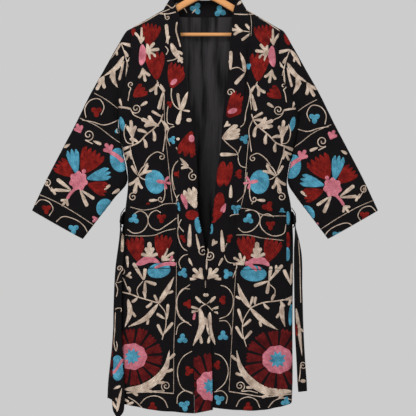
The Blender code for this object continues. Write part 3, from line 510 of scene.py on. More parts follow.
def makeBand(side, name):
    _, seamDrop = frontRows(side)
    hem = fronts[side]["hem"]
    seamX = smooth(seamDrop, bands["drop"], seamOf(side))
    edgeDrop = np.where(seamDrop < bandRoll["seamDrop"][-1],
                        smooth(seamDrop, bandRoll["seamDrop"], bandRoll["edgeDrop"]), seamDrop)
    edgeDrop = edgeDrop + ease((seamDrop - 835) / 370) * (hem["edge"] - hem["seam"])
    edgeX = smooth(edgeDrop, bands["drop"], bands["leftEdge" if side == left else "rightEdge"])
    climb = ease((160 - edgeDrop) / (160 - band["topDrop"]))
    edgeX = edgeX + climb * (side * band["topX"] - edgeX)
    full = smooth(edgeDrop, depths["drop"], depths["front"])
    edgeY = -full * quarterRound((edgeDrop - band["topDrop"]) / band["rollRound"])
    share = np.linspace(0, 1, 14)[None, :]
    x = seamX[:, None] + (edgeX - seamX)[:, None] * share
    drop = seamDrop[:, None] + (edgeDrop - seamDrop)[:, None] * share
    seamY = -standOut(seamX, seamDrop, front)
    seamY[0] = 0
    rolled = seamY[:, None] + (edgeY - seamY)[:, None] * share
    settled = ease((seamDrop - neckDrop) / 150)[:, None]
    y = rolled + settled * (-standOut(x, drop, front) - rolled) + recess(x, drop, side)
    y = y - band["crown"] * (1 - np.abs(2 * share - 1) ** 5) * ease((seamDrop - neckDrop) / 30)[:, None]
    y[0, :] = 0
    y = np.minimum(y, -coat["gap"] / 2)
    x[:, 0] -= side * coat["gap"] / 2
    grid = points(x, y, drop)
    inward = facing(gridNormals(grid), np.array([-side * 0.3, 1.0, -0.1]))
    inward[0, :] = unit(inward[0, :] * np.array([1, 0, 1]))
    inward[:, 0] = unit(inward[:, 0] * np.array([0, 1, 1]))
    piece = makePanel("band." + name, "band_" + name, grid, inward, band["wall"] - 0.4)
    return piece


# Back, its lining and the neck's band

neck = {"lowDrop": 151.0, "bandDepth": 36.0, "bandDrop": 101.0, "bow": 3.0, "lining": 0.8}
liningCreases = table(
    "x drop endX endDrop depth width",
    (4, 190, 12, 700, 3.0, 4), (22, 240, 26, 900, 3.4, 5), (-16, 220, -8, 640, 2.6, 5),
    (38, 200, 30, 560, 2.6, 5), (-46, 180, -30, 420, 2.4, 6), (60, 190, 44, 420, 2.4, 6),
    (0, 520, 6, 1180, 3.0, 6), (-60, 500, -64, 1100, 3, 9), (64, 520, 70, 1100, 3, 9))


def necklineDrop(x):
    return neck["lowDrop"] - (neck["lowDrop"] - neckDrop) * np.clip(np.abs(x) / coat["neckX"], 0, 1) ** 5


def backGrid():
    reach = coat["shoulderX"]
    outer = np.linspace(-reach, -coat["neckX"], spaced(88) + 1)
    middle = np.linspace(-coat["neckX"], coat["neckX"], spaced(2 * coat["neckX"]) + 1)
    topX = np.concatenate([outer, middle[1:-1], -outer[::-1]])
    neckColumns = slice(len(outer) - 1, len(topX) - len(outer) + 1)
    share = (topX + reach) / (2 * reach)
    arm, down = np.linspace(0, 1, spaced(290) + 1), np.linspace(0, 1, spaced(762) + 1)[1:]
    under = coat["underarmDrop"]
    low = under + (coat["backHem"] - under) * down
    sideDrop = np.concatenate([armholeDrop(math.pi * arm), low])
    middleDrop = np.concatenate([neck["lowDrop"] + (under - neck["lowDrop"]) * arm**1.5, low])
    inside = ease(np.minimum(share, 1 - share) / share[neckColumns.start])
    drop = sideDrop[:, None] + (middleDrop - sideDrop)[:, None] * inside
    topDrop = np.where(np.abs(topX) <= coat["neckX"], necklineDrop(topX), ridgeDrop(topX))
    fade = np.concatenate([1 - arm, np.zeros(len(low))])[:, None]
    drop = drop + (topDrop - drop[0])[None, :] * fade
    leftX, rightX = sideX(sideDrop, left), sideX(sideDrop, right)
    x = leftX[:, None] + (rightX - leftX)[:, None] * share
    y = standOut(x, drop, back)
    for column in (0, -1):
        y[:, column] = np.where(sideDrop <= under + 0.01, armholeDepth(sideDrop), 0.0)
    onRidge = np.abs(topX) >= coat["neckX"] - 0.01
    y[0, onRidge] = 0
    grid = points(x, np.maximum(y, coat["gap"] / 2), drop)
    inward = facing(gridNormals(grid), np.array([0, -1.0, 0]))
    for column, side in ((0, left), (-1, right)):
        inward[:, column] = (-side, 0, 0)
    for side in (left, right):
        inward[0, onRidge & (topX * side > 0)] = unit(np.array([-side * coat["ridgeFall"], 0.0, -1.0]))
    inward[0, neckColumns][1:-1] = (0, -1, 0)
    return grid, inward, neckColumns


def makeBack():
    grid, inward, neckColumns = backGrid()
    backPanel = makePanel("back.panel", "back", grid, inward, coat["wall"])
    base, into = grid[:-2, 3:-3], inward[:-2, 3:-3]
    outer = base + into * (coat["wall"] + neck["lining"])
    x, drop = outer[..., 0], -outer[..., 2]
    crease = sink(x, drop, liningCreases) + neck["lining"] + ripple(x, drop, 0.6)
    outer[..., 1] -= crease * ease((drop - 165) / 40)
    lining = makePanel("back.lining", "lining_back", outer, into, neck["lining"], "liningBlack")
    neckBand = makeNeckBand(grid[0, neckColumns])
    return grid, inward, backPanel, lining, neckBand


def makeNeckBand(lower):
    share = lower[:, 0] / coat["neckX"]
    upperY = neck["bandDepth"] * np.sqrt(np.clip(1 - share**4, 0, 1))
    upper = points(band["topX"] * share, upperY,
                   neck["bandDrop"] - (neck["bandDrop"] - band["topDrop"]) * np.abs(share) ** 3)
    up = np.linspace(0, 1, 13)[:, None, None]
    lift = np.array([0, 0, coat["gap"]]) * (1 - up)
    bow = neck["bow"] * np.sin(math.pi * up) * np.array([0, 1.0, 0])
    grid = lower + lift + (upper - lower) * up + bow * (1 - share**2)[None, :, None]
    grid[:, [0, -1], 1] = coat["gap"] / 2
    inward = facing(gridNormals(grid), np.array([0, -1.0, 0]))
    for column, side in ((0, left), (-1, right)):
        inward[:, column] = unit(np.array([-side, 0, -0.5]))
    inward[0] = unit(inward[0] * np.array([1, 1, 0.2]))
    piece = makePanel("band.neck", "band_neck", grid, inward, band["wall"] - 0.5)
    return piece


# Sleeves

sleeves = table(
    "t outerX outerDrop leftX rightX innerDrop halfDepth",
    (0, 201, 186.8, 235.5, 256, 430, 15), (0.06, 214, 195, 238.5, 262.5, 450, 15.5),
    (0.15, 238, 235, 236.0, 261, 480, 16), (0.30, 276, 302, 224.7, 242.2, 525, 18),
    (0.45, 314, 370, 214.5, 229.4, 567, 19), (0.60, 352, 447, 212.8, 225.8, 607, 19),
    (0.75, 390, 519, 246, 250, 647, 19), (0.88, 431, 598, 288, 291, 701, 17),
    (1.0, 470, 681, 332, 334, 758.5, 14))
sleeve = {"rings": 112, "steps": 112, "fade": 0.3, "swell": 6.0, "crease": 5.0}
sleevePulls = table(  # wrinkles across the sleeve, from its inner fold towards the shoulder
    "t down endT endDown depth width",
    (0.10, 0.95, 0.40, 0.25, 3.4, 0.05), (0.26, 0.95, 0.55, 0.35, 3.0, 0.05),
    (0.05, 0.75, 0.22, 0.15, 2.6, 0.05), (0.50, 0.9, 0.78, 0.4, 2.4, 0.06),
    (0.72, 0.85, 0.95, 0.5, 1.8, 0.06))


def sleeveGrid(side):
    t = np.linspace(0, 1, sleeve["rings"] + 1) ** 1.1
    columns = ["outerX", "outerDrop", "leftX" if side == left else "rightX", "innerDrop", "halfDepth"]
    outerX, outerDrop, innerX, innerDrop, halfDepth = (
        smooth(t, sleeves["t"], sleeves[column])[:, None] for column in columns)
    angles = np.arange(sleeve["steps"]) * 2 * math.pi / sleeve["steps"]
    down = ((1 - np.cos(angles)) / 2)[None, :]
    x = side * (outerX + (innerX - outerX) * down)
    drop = outerDrop + (innerDrop - outerDrop) * down
    fade = np.clip(1 - t / sleeve["fade"], 0, 1)[:, None]
    x = x + (sideX(drop[0], side) - x[0])[None, :] * fade**2
    x = x + side * sleeve["swell"] * np.sin(math.pi * (1 - fade)) * np.sin(math.pi * down)
    behind = np.sign(np.sin(angles) + 1e-9)[None, :]
    y = -halfDepth * tubeRound(angles)[None, :] * behind
    t = t[:, None]
    crease = np.exp(-(((down - 0.78 + 0.5 * t) / 0.10) ** 2))
    y = y + sleeve["crease"] * (crease * ease(t / 0.12) * ease((0.62 - t) / 0.3) * (y < 0))
    pull = sinkAcross(t, down) * np.sin(math.pi * down) ** 0.5 * ease(t / 0.06) * ease((1 - t) / 0.05)
    y = y + behind * (pull + ripple(x, drop, 0.7) * np.sin(math.pi * down) ** 2 * ease(t / 0.06))
    x[0] += side * coat["gap"] / 2
    grid = points(x, y, drop)
    inward = facing(gridNormals(grid, closed=True), grid.mean(axis=1, keepdims=True) - grid)
    ring = grid[0]
    inward[0] = unit((ring.mean(axis=0) - ring) * np.array([0, 1, 1]))
    return grid, inward


def sinkAcross(t, down):
    total = np.zeros(np.broadcast(t, down).shape)
    for t0, down0, t1, down1, depth, width in zip(*sleevePulls.values()):
        along = (t - t0) / (t1 - t0)
        centre = down0 + along * (down1 - down0)
        fade = depth * ease(along / 0.3) * ease((1 - along) / 0.3)
        total = total + fade * np.exp(-(((down - centre) / width) ** 2))
    return total


def makeSleeve(side, name):
    grid, inward = sleeveGrid(side)
    piece = makePanel("sleeve." + name, "sleeve_" + name, grid, inward, coat["wall"], closed=True)
    return piece


# Belt

belt = {"wall": 2.6, "middle": 1.8, "topDrop": 682.0, "width": 40.0, "inset": 0.0135}
beltEnds = {
    left: table(
        "drop rearX rearY frontX frontY",
        (760, -232, -5, -216, -28), (835, -241, -13, -221, -36), (925, -245, -21, -223, -40),
        (1030, -246, -26, -222, -43), (1090, -246, -32, -217, -49), (1150, -247, -39, -214, -52),
        (1195, -247, -43, -214, -54), (1218, -243, -45, -218, -54), (1232, -233, -49, -229, -51)),
    right: table(
        "drop rearX rearY frontX frontY",
        (789, 261, 6, 241.5, -14), (897, 265, 8, 242, -14), (1006, 268, 8, 244, -14),
        (1104, 273, 4, 249, -14), (1150, 276, 0, 251, -14), (1172, 277, 0, 253, -12)),
}
beltLoop = {"topDrop": 674.0, "length": 54.0, "stand": 8.5, "halfWidth": 4.0, "wall": 1.5}


def makeBeltBack(grid, inward):
    top, low = belt["topDrop"], belt["topDrop"] + belt["width"]
    drop = np.linspace(top, low, 12)[:, None]
    share = np.linspace(belt["inset"], 1 - belt["inset"], 110)[None, :]
    leftX, rightX = sideX(drop, left), sideX(drop, right)
    x = leftX + (rightX - leftX) * share
    edge = np.minimum(drop - top, low - drop)
    y = standOut(x, drop, back) + coat["gap"] + 0.2 + belt["wall"] + 0.7 * ease(edge / 6)
    strip = points(x, y, drop)
    into = facing(gridNormals(strip), np.array([0, -1.0, 0]))
    piece = makePanel("belt.back", "belt_back", strip, into, belt["wall"] - 0.2)
    return piece


def makeBeltEnd(side, name):
    top, low, middle = belt["topDrop"], belt["topDrop"] + belt["width"], belt["middle"]

    def behind(drop):
        x = float(sideX(drop, side)) - side * 6.0
        return np.array([x, float(standOut(x, drop, back)) + middle, -drop])

    def beside(y, drop, out):
        return np.array([float(sideX(drop, side)) + side * (middle + out), y, -drop])

    turn = [(behind(low), behind(top)), (beside(2.5, low - 3, 1.0), beside(2.5, top + 3, 1.0)),
            (beside(-6, low - 4, 1.5), beside(-6, top + 6, 1.5)),
            (beside(-10, low - 4, 2.0), beside(-22, low - 24, 3.5)),
            (beside(-10, low - 2, 2.5), beside(-31, low - 2, 2.0))]
    hanging = [((x0, y0, -drop), (x1, y1, -drop)) for drop, x0, y0, x1, y1 in zip(*beltEnds[side].values())]
    sections = np.array(turn + hanging)
    steps = np.concatenate([[0], np.cumsum(np.linalg.norm(np.diff(sections.mean(1), axis=0), axis=1))])
    run = np.linspace(0, steps[-1], spaced(steps[-1] * 1.1))
    edges = np.stack([[smooth(run, steps, sections[:, e, k]) for k in range(3)] for e in (0, 1)])
    edges = edges.transpose(2, 0, 1)
    share = np.linspace(0, 1, 10)[None, :, None]
    grid = edges[:, :1] + (edges[:, 1:] - edges[:, :1]) * share
    out = facing(gridNormals(grid), np.array([side * 1.0, -0.5, 0]))
    crown = 0.5 * (1 - np.abs(2 * share - 1) ** 4)
    grid = grid + out * (belt["wall"] / 2 + crown)
    piece = makePanel("belt." + name, "belt_" + name, grid, -out, belt["wall"] + 0.2)
    return piece


def makeBeltLoop(side, name):
    share = np.linspace(0, 1, 28)
    drop = beltLoop["topDrop"] + beltLoop["length"] * share
    stand = beltLoop["stand"] * np.clip(np.sin(math.pi * share), 0, 0.8) / 0.8
    base = sideX(drop, side) + side * (0.5 + stand)
    width = np.linspace(-beltLoop["halfWidth"], beltLoop["halfWidth"], 6)
    grid = points(base[:, None] + side * beltLoop["wall"], width[None, :], drop[:, None])
    into = facing(gridNormals(grid), np.array([-side * 1.0, 0, 0]))
    into[0] = into[-1] = (-side, 0, 0)
    piece = makePanel("loop." + name, "belt_loop_" + name, grid, into, beltLoop["wall"])
    return piece


panels = {}
for side, name in ((left, "left"), (right, "right")):
    panels["front." + name] = makeFront(side, name)
    panels["pocket." + name] = makePocket(side, name)
    panels["band." + name] = makeBand(side, name)
    panels["sleeve." + name] = makeSleeve(side, name)
    panels["belt." + name] = makeBeltEnd(side, name)
    panels["loop." + name] = makeBeltLoop(side, name)
grid, inward, panels["back"], panels["lining"], panels["band.neck"] = makeBack()
panels["belt.back"] = makeBeltBack(grid, inward)
for node in ("hanger_arms", "hanger_bar"):
    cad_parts[node].data.materials[0] = materials["wood"]
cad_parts["hanger_hook"].data.materials[0] = materials["steel"]
print("cloth made:", len(panels), "pieces")


# Where the coat is seen from, which is also where the embroidery is laid on from

view = {"x": 0.00816, "height": -0.6746, "away": 2.2, "frameWidth": 1.1315}


# Embroidery. A motif is drawn flat, in pattern squares of 2.72 mm counted from the cloth's upper
# left corner as it hangs, then laid on whichever panel lies there and raised by its stitches.

pattern = {"square": 2.72, "middle": 205.0, "top": 40.0, "edge": 0.12, "lift": 0.75, "fillStep": 1.15,
           "snap": 4.0, "longest": 22.0, "grazing": 0.05, "onto": ()}
sewn = {}  # (panel, thread) to its vertices, stitch directions and faces
drawn = []  # this side's motifs, as (corners, heights, stitch directions, faces, thread, panels)


def rise(layer):  # the heights of a motif's edge and its middle, on so many others
    if layer < 0.5:
        return pattern["edge"], pattern["lift"] * (1 + 0.3 * layer)
    low = pattern["lift"] + 0.4 * (layer - 1) + 0.12
    return low, low + 0.45


def drawOn(*names):  # what is drawn from here on shows only on these panels, or on any when none is named
    pattern["onto"] = names


def turned(angle):
    a = math.radians(angle)
    return np.array([math.cos(a), math.sin(a)]), np.array([-math.sin(a), math.cos(a)])


def heading(vector):
    return math.degrees(math.atan2(vector[1], vector[0]))


def curveThrough(knots, step=0.7):
    knots = np.asarray(knots, float)
    length = np.concatenate([[0], np.cumsum(np.linalg.norm(np.diff(knots, axis=0), axis=1))])
    run = np.linspace(0, length[-1], max(int(length[-1] / step), 3) + 1)
    if len(knots) == 2:
        return knots[0] + (knots[1] - knots[0]) * (run / length[-1])[:, None], run
    return np.stack([smooth(run, length, knots[:, k]) for k in (0, 1)], 1), run


def ribbon(knots, width=1.0, thread="threadCream", layer=0, shape=None):  # a row or band of stitches
    line, run = curveThrough(knots)
    along = unit(np.gradient(line, axis=0))
    across = np.stack([-along[:, 1], along[:, 0]], 1)
    share = run / run[-1]
    half = np.full(len(run), width * 0.43) if shape is None else width * 0.48 * shape(share)
    end = np.minimum(run, run[-1] - run) / max(half.max(), 0.1)
    half = half * np.maximum(quarterRound(end), 0.25)
    steps = np.array([-1.0, -0.6, 0.0, 0.6, 1.0])
    corners = line[:, None] + across[:, None] * (half[:, None] * steps)[..., None]
    low, high = rise(layer)
    heights = np.tile(low + (high - low) * np.array([0, 0.85, 1, 0.85, 0]), (len(run), 1))
    heights[[0, -1]] = low
    uv = np.stack([half[:, None] * steps, np.tile(run[:, None], (1, 5))], -1) * pattern["square"]
    index = np.arange(len(run) * 5).reshape(-1, 5)
    a, b, c, d = cells(index)
    faces = np.concatenate([np.stack([a, b, c], -1).reshape(-1, 3), np.stack([a, c, d], -1).reshape(-1, 3)])
    drawn.append((corners.reshape(-1, 2), heights.ravel(), uv.reshape(-1, 2), faces, thread,
                  pattern["onto"]))


def inside(spots, outline):
    x, y = spots[:, 0], spots[:, 1]
    hit = np.zeros(len(spots), bool)
    for (x0, y0), (x1, y1) in zip(outline, np.roll(outline, -1, axis=0)):
        crosses = (y0 > y) != (y1 > y)
        hit ^= crosses & (x < (x1 - x0) * (y - y0) / (y1 - y0 + 1e-12) + x0)
    return hit


def clearance(spots, outline):
    nearest = np.full(len(spots), 1e9)
    for p, q in zip(outline, np.roll(outline, -1, axis=0)):
        edge = q - p
        t = np.clip(((spots - p) @ edge) / max(edge @ edge, 1e-9), 0, 1)
        nearest = np.minimum(nearest, np.linalg.norm(spots - p - t[:, None] * edge, axis=1))
    return nearest


def fill(outline, thread, layer=0, heart=None, angle=0.0):  # a shape filled with rows of stitches
    outline = np.asarray(outline, float)
    low, high = outline.min(0), outline.max(0)
    step = pattern["fillStep"]
    gx, gy = np.meshgrid(np.arange(low[0], high[0], step), np.arange(low[1], high[1], step * 0.866))
    gx = gx + (np.arange(gx.shape[0]) % 2)[:, None] * step / 2
    spots = np.stack([gx.ravel(), gy.ravel()], 1)
    spots = spots[inside(spots, outline)]
    if len(spots):
        spots = spots[clearance(spots, outline) > 0.45]
    corners = [Vector(p) for p in np.concatenate([outline, spots]).tolist()]
    result = delaunay_2d_cdt(corners, [], [list(range(len(outline)))], 1, 1e-4)
    corners = np.array([tuple(p) for p in result[0]])
    faces = np.array(result[2])
    if not len(faces):
        return
    room = clearance(corners, outline)
    low, high = rise(layer)
    heights = low + (high - low) * quarterRound(room / 1.1)
    if heart is None:
        along, across = turned(angle)
        uv = np.stack([corners @ across, corners @ along], 1)
    else:
        away = corners - heart
        reach = np.linalg.norm(away, axis=1)
        uv = np.stack([np.arctan2(away[:, 1], away[:, 0]) * reach.mean(), reach], 1)
    drawn.append((corners, heights, uv * pattern["square"], faces, thread, pattern["onto"]))


def finger(x, y, angle, length, width, thread="threadCream", bend=0.0, layer=0):  # a leaf, thin at its foot
    along, across = turned(angle)
    foot = np.array([x, y], float)
    knots = [foot, foot + along * length * 0.5 + across * bend * length, foot + along * length]
    ribbon(knots, width, thread, layer, lambda s: 0.46 + 0.54 * ease(s / 0.6))


def hand(x, y, angle, length, width, thread, count=5, spread=110.0, layer=0):  # fingers from one foot
    for k in range(count):
        share = 0.5 if count == 1 else k / (count - 1)
        lean = (share - 0.5) * spread
        finger(x, y, angle + lean, length * (1 - 0.22 * abs(2 * share - 1)), width, thread,
               bend=-0.10 * (2 * share - 1), layer=layer)


def fan(x, y, angle, length, width, thread, lobes=4, layer=0):  # a tulip petal: pointed foot, scalloped top
    along, across = turned(angle)
    run = np.linspace(0.05, 0.84, 9)
    side = np.stack([run * length, width / 2 * np.sin(math.pi / 2 * np.minimum(run / 0.95, 1)) ** 0.8], 1)
    top = np.linspace(1, -1, 6 * lobes + 1)[1:-1]
    scallop = 0.82 + 0.20 * np.abs(np.sin(lobes * math.pi * (top + 1) / 2)) ** 0.8 - 0.06 * top**2
    crown = np.stack([length * scallop, width / 2 * top], 1)
    local = np.concatenate([side, crown, (side * [1, -1])[::-1]])
    outline = np.array([x, y]) + local[:, :1] * along + local[:, 1:] * across
    fill(outline, thread, layer, heart=np.array([x, y]) - along * length * 0.3)


def disc(x, y, rx, ry, angle, thread, layer=0, lobes=0, wave=0.0):
    count = max(int(2.6 * (rx + ry)), 18)
    a = np.linspace(0, 2 * math.pi, count, endpoint=False)
    reach = 1 + 0.02 * np.sin(2 * a + 1) + wave * np.cos(lobes * a)
    along, across = turned(angle)
    outline = (np.array([x, y]) + (rx * reach * np.cos(a))[:, None] * along
               + (ry * reach * np.sin(a))[:, None] * across)
    fill(outline, thread, layer, heart=np.array([x, y]) + 0.2 * along)


def trefoil(x, y, size, angle, thread, layer=0):
    for k, lean in enumerate((-120, 0, 120)):
        along, _ = turned(angle + lean)
        cx, cy = np.array([x, y]) + along * size * 0.50
        disc(cx, cy, size * 0.52, size * 0.46, angle + lean, thread, layer + 0.08 * k)


def star(x, y, radius, count, angle, thread, layer=2, depth=0.6):
    a = np.radians(angle) + np.linspace(0, 2 * math.pi, 2 * count, endpoint=False)
    reach = radius * np.where(np.arange(2 * count) % 2 == 0, 1.0, depth)
    tips = np.array([x, y]) + np.stack([reach * np.cos(a), reach * np.sin(a)], 1)
    outline = np.concatenate([[p, (p + q) / 2] for p, q in zip(tips, np.roll(tips, -1, axis=0))])
    fill(outline, thread, layer, heart=np.array([x, y]))


def rosette(x, y, inner, outer, count, angle, thread, squash=1.0):  # a ring of notched petals
    step = 360 / count
    for k in range(count):
        a0 = angle + k * step
        side = np.radians(a0 + step * 0.38 * np.array([-1, 1]))
        tip = np.radians(a0 + step * 0.41 * np.linspace(-1, 1, 11))
        scallops = np.abs(np.sin(np.linspace(0, 3 * math.pi, 11)))
        notch = outer * (0.91 + 0.09 * scallops + 0.03 * math.sin(k * 2.4))
        run = np.linspace(inner, outer * 0.88, 7)
        ring = [(r * math.cos(side[0]), r * math.sin(side[0])) for r in run]
        ring += [(r * math.cos(a), r * math.sin(a)) for r, a in zip(notch, tip)]
        ring += [(r * math.cos(side[1]), r * math.sin(side[1])) for r in run[::-1]]
        outline = np.array([x, y]) + np.array(ring) * [squash, 1.0]
        fill(outline, thread, 0, heart=np.array([x, y]))


def spiral(x, y, radius, turns, angle, thread="threadCream", width=1.05, tail=()):
    count = int(abs(turns) * 14) + 4
    s = np.linspace(0, 1, count)
    a = math.radians(angle) + 2 * math.pi * turns * (s - 1)
    reach = radius * (0.12 + 0.88 * s)
    knots = [(x + r * math.cos(b), y + r * math.sin(b)) for r, b in zip(reach, a)]
    ribbon(knots + list(tail), width, thread)


def calyx(x, y, angle, length, width, thread="threadPink", prongs=3, spread=124.0):  # a stem with prongs
    along, _ = turned(angle)
    foot = np.array([x, y]) + along * length * 0.55
    ribbon([np.array([x, y]), foot], width, thread, layer=1, shape=lambda s: 0.7 + 0.3 * s)
    for k in range(prongs):
        lean = (k / max(prongs - 1, 1) - 0.5) * spread
        finger(foot[0], foot[1], angle + lean, length * 0.52, width * 0.62, thread, layer=1)


def spray(knots, width, leaf, thread="threadCream", pairs=4, lean=48.0, leafWidth=2.6, start=0.15):
    line, run = curveThrough(knots)  # a stem with leaves on both sides and one at its end
    ribbon(knots, width, thread)
    along = unit(np.gradient(line, axis=0))
    for k in range(pairs * 2):
        at = int((start + (0.97 - start) * k / (pairs * 2)) * (len(line) - 1))
        way = 1 if k % 2 else -1
        finger(*line[at], heading(along[at]) + way * lean, leaf * (1 - 0.05 * k), leafWidth, thread,
               bend=0.08 * way)
    finger(*line[-1], heading(along[-1]), leaf, leafWidth, thread)


def leafBlade(knots, width, thread="threadCream", lobes=5, layer=0):  # a long leaf, barbed along one edge
    line, run = curveThrough(knots, 0.8)
    along = unit(np.gradient(line, axis=0))
    across = np.stack([-along[:, 1], along[:, 0]], 1)
    share = (run / run[-1])[:, None]
    half = across * width * (0.31 if 0 < lobes < 5 else 0.42) * np.sin(math.pi * share**0.75) ** 0.8
    fill(np.concatenate([line + half, (line - half)[1:-1][::-1]]), thread, layer,
         angle=heading(line[-1] - line[0]))
    for k in range(lobes):
        at = int((k + 0.5) / (lobes + 0.2) * (len(line) - 1))
        angle = heading(along[at]) - math.copysign(34, width)
        foot = line[at] - half[at] * 0.6
        finger(foot[0], foot[1], angle, abs(width) * 0.92, abs(width) * 0.25 + 0.7, thread, layer=layer)


def layOn(eye, names):  # lay the drawn motifs on the panels as seen from the eye
    meshes = {name: panels[name].data for name in names}
    trees = {name: BVHTree.FromPolygons([v.co for v in mesh.vertices],
                                        [tuple(p.vertices) for p in mesh.polygons])
             for name, mesh in meshes.items()}
    eye = Vector(eye)

    def cast(name, ray):
        spot, normal, _, reach = trees[name].ray_cast(eye, ray)
        return (spot, normal, reach) if spot is not None else None

    for corners, heights, uvs, faces, thread, onto in drawn:
        x = (corners[:, 0] - pattern["middle"]) * pattern["square"] * mm
        z = -(corners[:, 1] + pattern["top"]) * pattern["square"] * mm
        rays = [(Vector((a, 0, b)) - eye).normalized() for a, b in zip(x, z)]
        hits, owner = [], []
        for ray in rays:
            found = {name: hit for name in names if (hit := cast(name, ray)) is not None}
            hits.append(found)
            owner.append(min(found, key=lambda n: found[n][2]) if found else None)
        spots = {}

        def spotOn(name, k):
            if (name, k) not in spots:
                hit = hits[k].get(name)
                if hit is None or hit[1].dot(rays[k]) > -pattern["grazing"]:
                    depths = [h[2] for h in hits[k].values()] or [reachGuess]
                    near, normal, _, gap = trees[name].find_nearest(eye + rays[k] * min(depths))
                    hit = (near, normal, 0) if gap is not None and gap < pattern["snap"] * mm else None
                if hit is None:
                    spots[name, k] = None
                else:
                    normal = hit[1] if hit[1].dot(rays[k]) < 0 else -hit[1]
                    spots[name, k] = hit[0] + normal * heights[k] * mm
            return spots[name, k]

        reaches = [h[2] for found in hits for h in found.values()]
        if not reaches:
            continue
        reachGuess = min(reaches)
        for face in faces:
            for name in {owner[k] for k in face} - {None}:
                if onto and name not in onto:
                    continue
                places = [spotOn(name, k) for k in face]
                if any(p is None for p in places):
                    continue
                p, q, r = places
                if max((p - q).length, (q - r).length, (r - p).length) > pattern["longest"] * mm:
                    continue
                batch = sewn.setdefault((name, thread), {"index": {}, "at": [], "uv": [], "faces": []})
                index = [batch["index"].setdefault((id(corners), k), len(batch["index"])) for k in face]
                for i, k, place in zip(index, face, places):
                    if i == len(batch["at"]):
                        batch["at"].append(place / mm)
                        batch["uv"].append(uvs[k])
                up = (q - p).cross(r - p)
                batch["faces"].append(index if up.dot(rays[face[0]]) < 0 else index[::-1])
    drawn.clear()


def sew(side):
    for (name, thread), batch in sewn.items():
        label = "stitches." + side + "." + name + "." + thread[6:].lower()
        piece = makeMesh(label, [tuple(p) for p in batch["at"]], batch["faces"], thread, 80, batch["uv"])
        settle(piece, thread)
    sewn.clear()


cream, red, wine, blue, pink = "threadCream", "threadRed", "threadWine", "threadBlue", "threadPink"
angleAt = {finger: 2, hand: 2, fan: 2, calyx: 2, trefoil: 3, disc: 4, spiral: 4}  # where the angle is given
turnAt = {leafBlade: 1, spiral: 3}  # and where the value that changes its sign in a mirror is


def penFor(flip, mirrorSum, down=0):  # draws motifs as given on the left, and mirrored on the right
    def place(x, y):
        return x if flip == left else mirrorSum - x, y + down

    def draw(motif, *given, **named):
        given = list(given)
        if motif in angleAt:
            given[:2] = place(*given[:2])
            angle = given[angleAt[motif]]
            given[angleAt[motif]] = angle if flip == left else 180 - angle
        else:
            given[0] = [place(*knot) for knot in given[0]]
        if motif in turnAt:
            given[turnAt[motif]] *= -flip
        if "tail" in named:
            named["tail"] = [place(*knot) for knot in named["tail"]]
        motif(*given, **named)

    return draw


def drawChest(flip, *names):  # one side's chest, whose upper flowers hang a little lower on the right
    down = 0 if flip == left else 1.5
    low, level = penFor(flip, 414.5, down), penFor(flip, 414.5)
    drawOn(*names)
    low(fan, 148, 46.5, -80, 23, 20, red, lobes=5)
    low(fan, 157, 81, -95, 29, 20, red, lobes=4)
    low(disc, 142.5, 55, 3.7, 10.5, 4, pink, lobes=3, wave=0.08)
    low(hand, 146, 51, -8, 13.5, 3.2, cream, 5, 150)
    low(hand, 141, 44, -86, 17, 2.8, cream, 3, 66)
    low(hand, 142.5, 68, 78, 14, 3.0, cream, 3, 66)
    low(finger, 133, 36, -85, 8, 4.5, red)
    low(spiral, 131, 84.5, 3.2, -1.1, 100, tail=[(129.5, 92), (128, 101)])
    low(fan, 133, 97, -38, 15, 14, red, lobes=3)
    level(ribbon, [(157, 80 + down), (158, 84), (163.5, 93), (163, 110)])
    low(hand, 158.5, 82, 118, 17, 3.0, cream, 2, 34)
    low(finger, 163, 92, 104, 18, 3.6)
    low(finger, 160, 84, 60, 9, 3.0)
    low(spiral, 136, 108.5, 5.2, 1.6, 170, tail=[(133, 114), (140, 118), (148, 121)])
    low(finger, 140.5, 106, -32, 8, 3.2)
    low(ribbon, [(131, 109), (124, 107.5), (118.5, 107)], 2.2)
    low(finger, 122, 107, -108, 9, 2.4)
    level(spray, [(163, 114), (160, 122), (154.5, 128), (146, 135), (138, 143), (131, 146)], 1.6, 13,
          pairs=3, lean=58, leafWidth=3.4)
    low(hand, 159, 126, -158, 19, 3.6, cream, 3, 44)
    low(finger, 162, 117, -150, 12, 2.8)
    level(ribbon, [(161, 118), (165.5, 130), (164.5, 141), (163, 152)])
    level(hand, 133, 145, -95, 25, 3.4, cream, 3, 26)
    level(finger, 133, 136, -122, 12, 2.8)
    level(ribbon, [(133, 144), (128, 143), (124, 132), (126, 124)])
    level(ribbon, [(130, 145), (131, 153), (134, 163), (137.5, 173)])
    level(hand, 131, 150, 118, 12, 2.6, cream, 3, 66)
    level(spiral, 161.5, 157 + down, 3.4, -1.2, -80, tail=[(158, 152 + down), (150, 156 + down), (144,
          165)])
    level(ribbon, [(137.5, 176), (142, 168), (148, 163)], 1.2)
    level(hand, 138.5, 176, -34, 19, 3.2, cream, 2, 34)
    level(hand, 138, 177, 105, 16, 3.0, cream, 3, 70)
    level(finger, 137, 175, -120, 11, 2.8)
    level(ribbon, [(139, 176), (142, 178.5), (146, 180)], 1.1)
    level(disc, 155, 182, 9.6, 12.2, -12, blue)
    level(calyx, 156.5, 181, 10, 14, 4.4)
    level(spiral, 133, 197, 4.4, 1.4, -60, tail=[(137, 186), (138, 178)])
    level(spiral, 160.5, 199, 3.4, -1.2, 0, tail=[(165, 193), (164.5, 187)])
    level(hand, 158, 200, 176, 9, 3.0, cream, 1)
    level(ribbon, [(161, 201), (163, 204.5)], 1.2)
    level(disc, 122, 124, 2.6, 7.5, -12, blue)


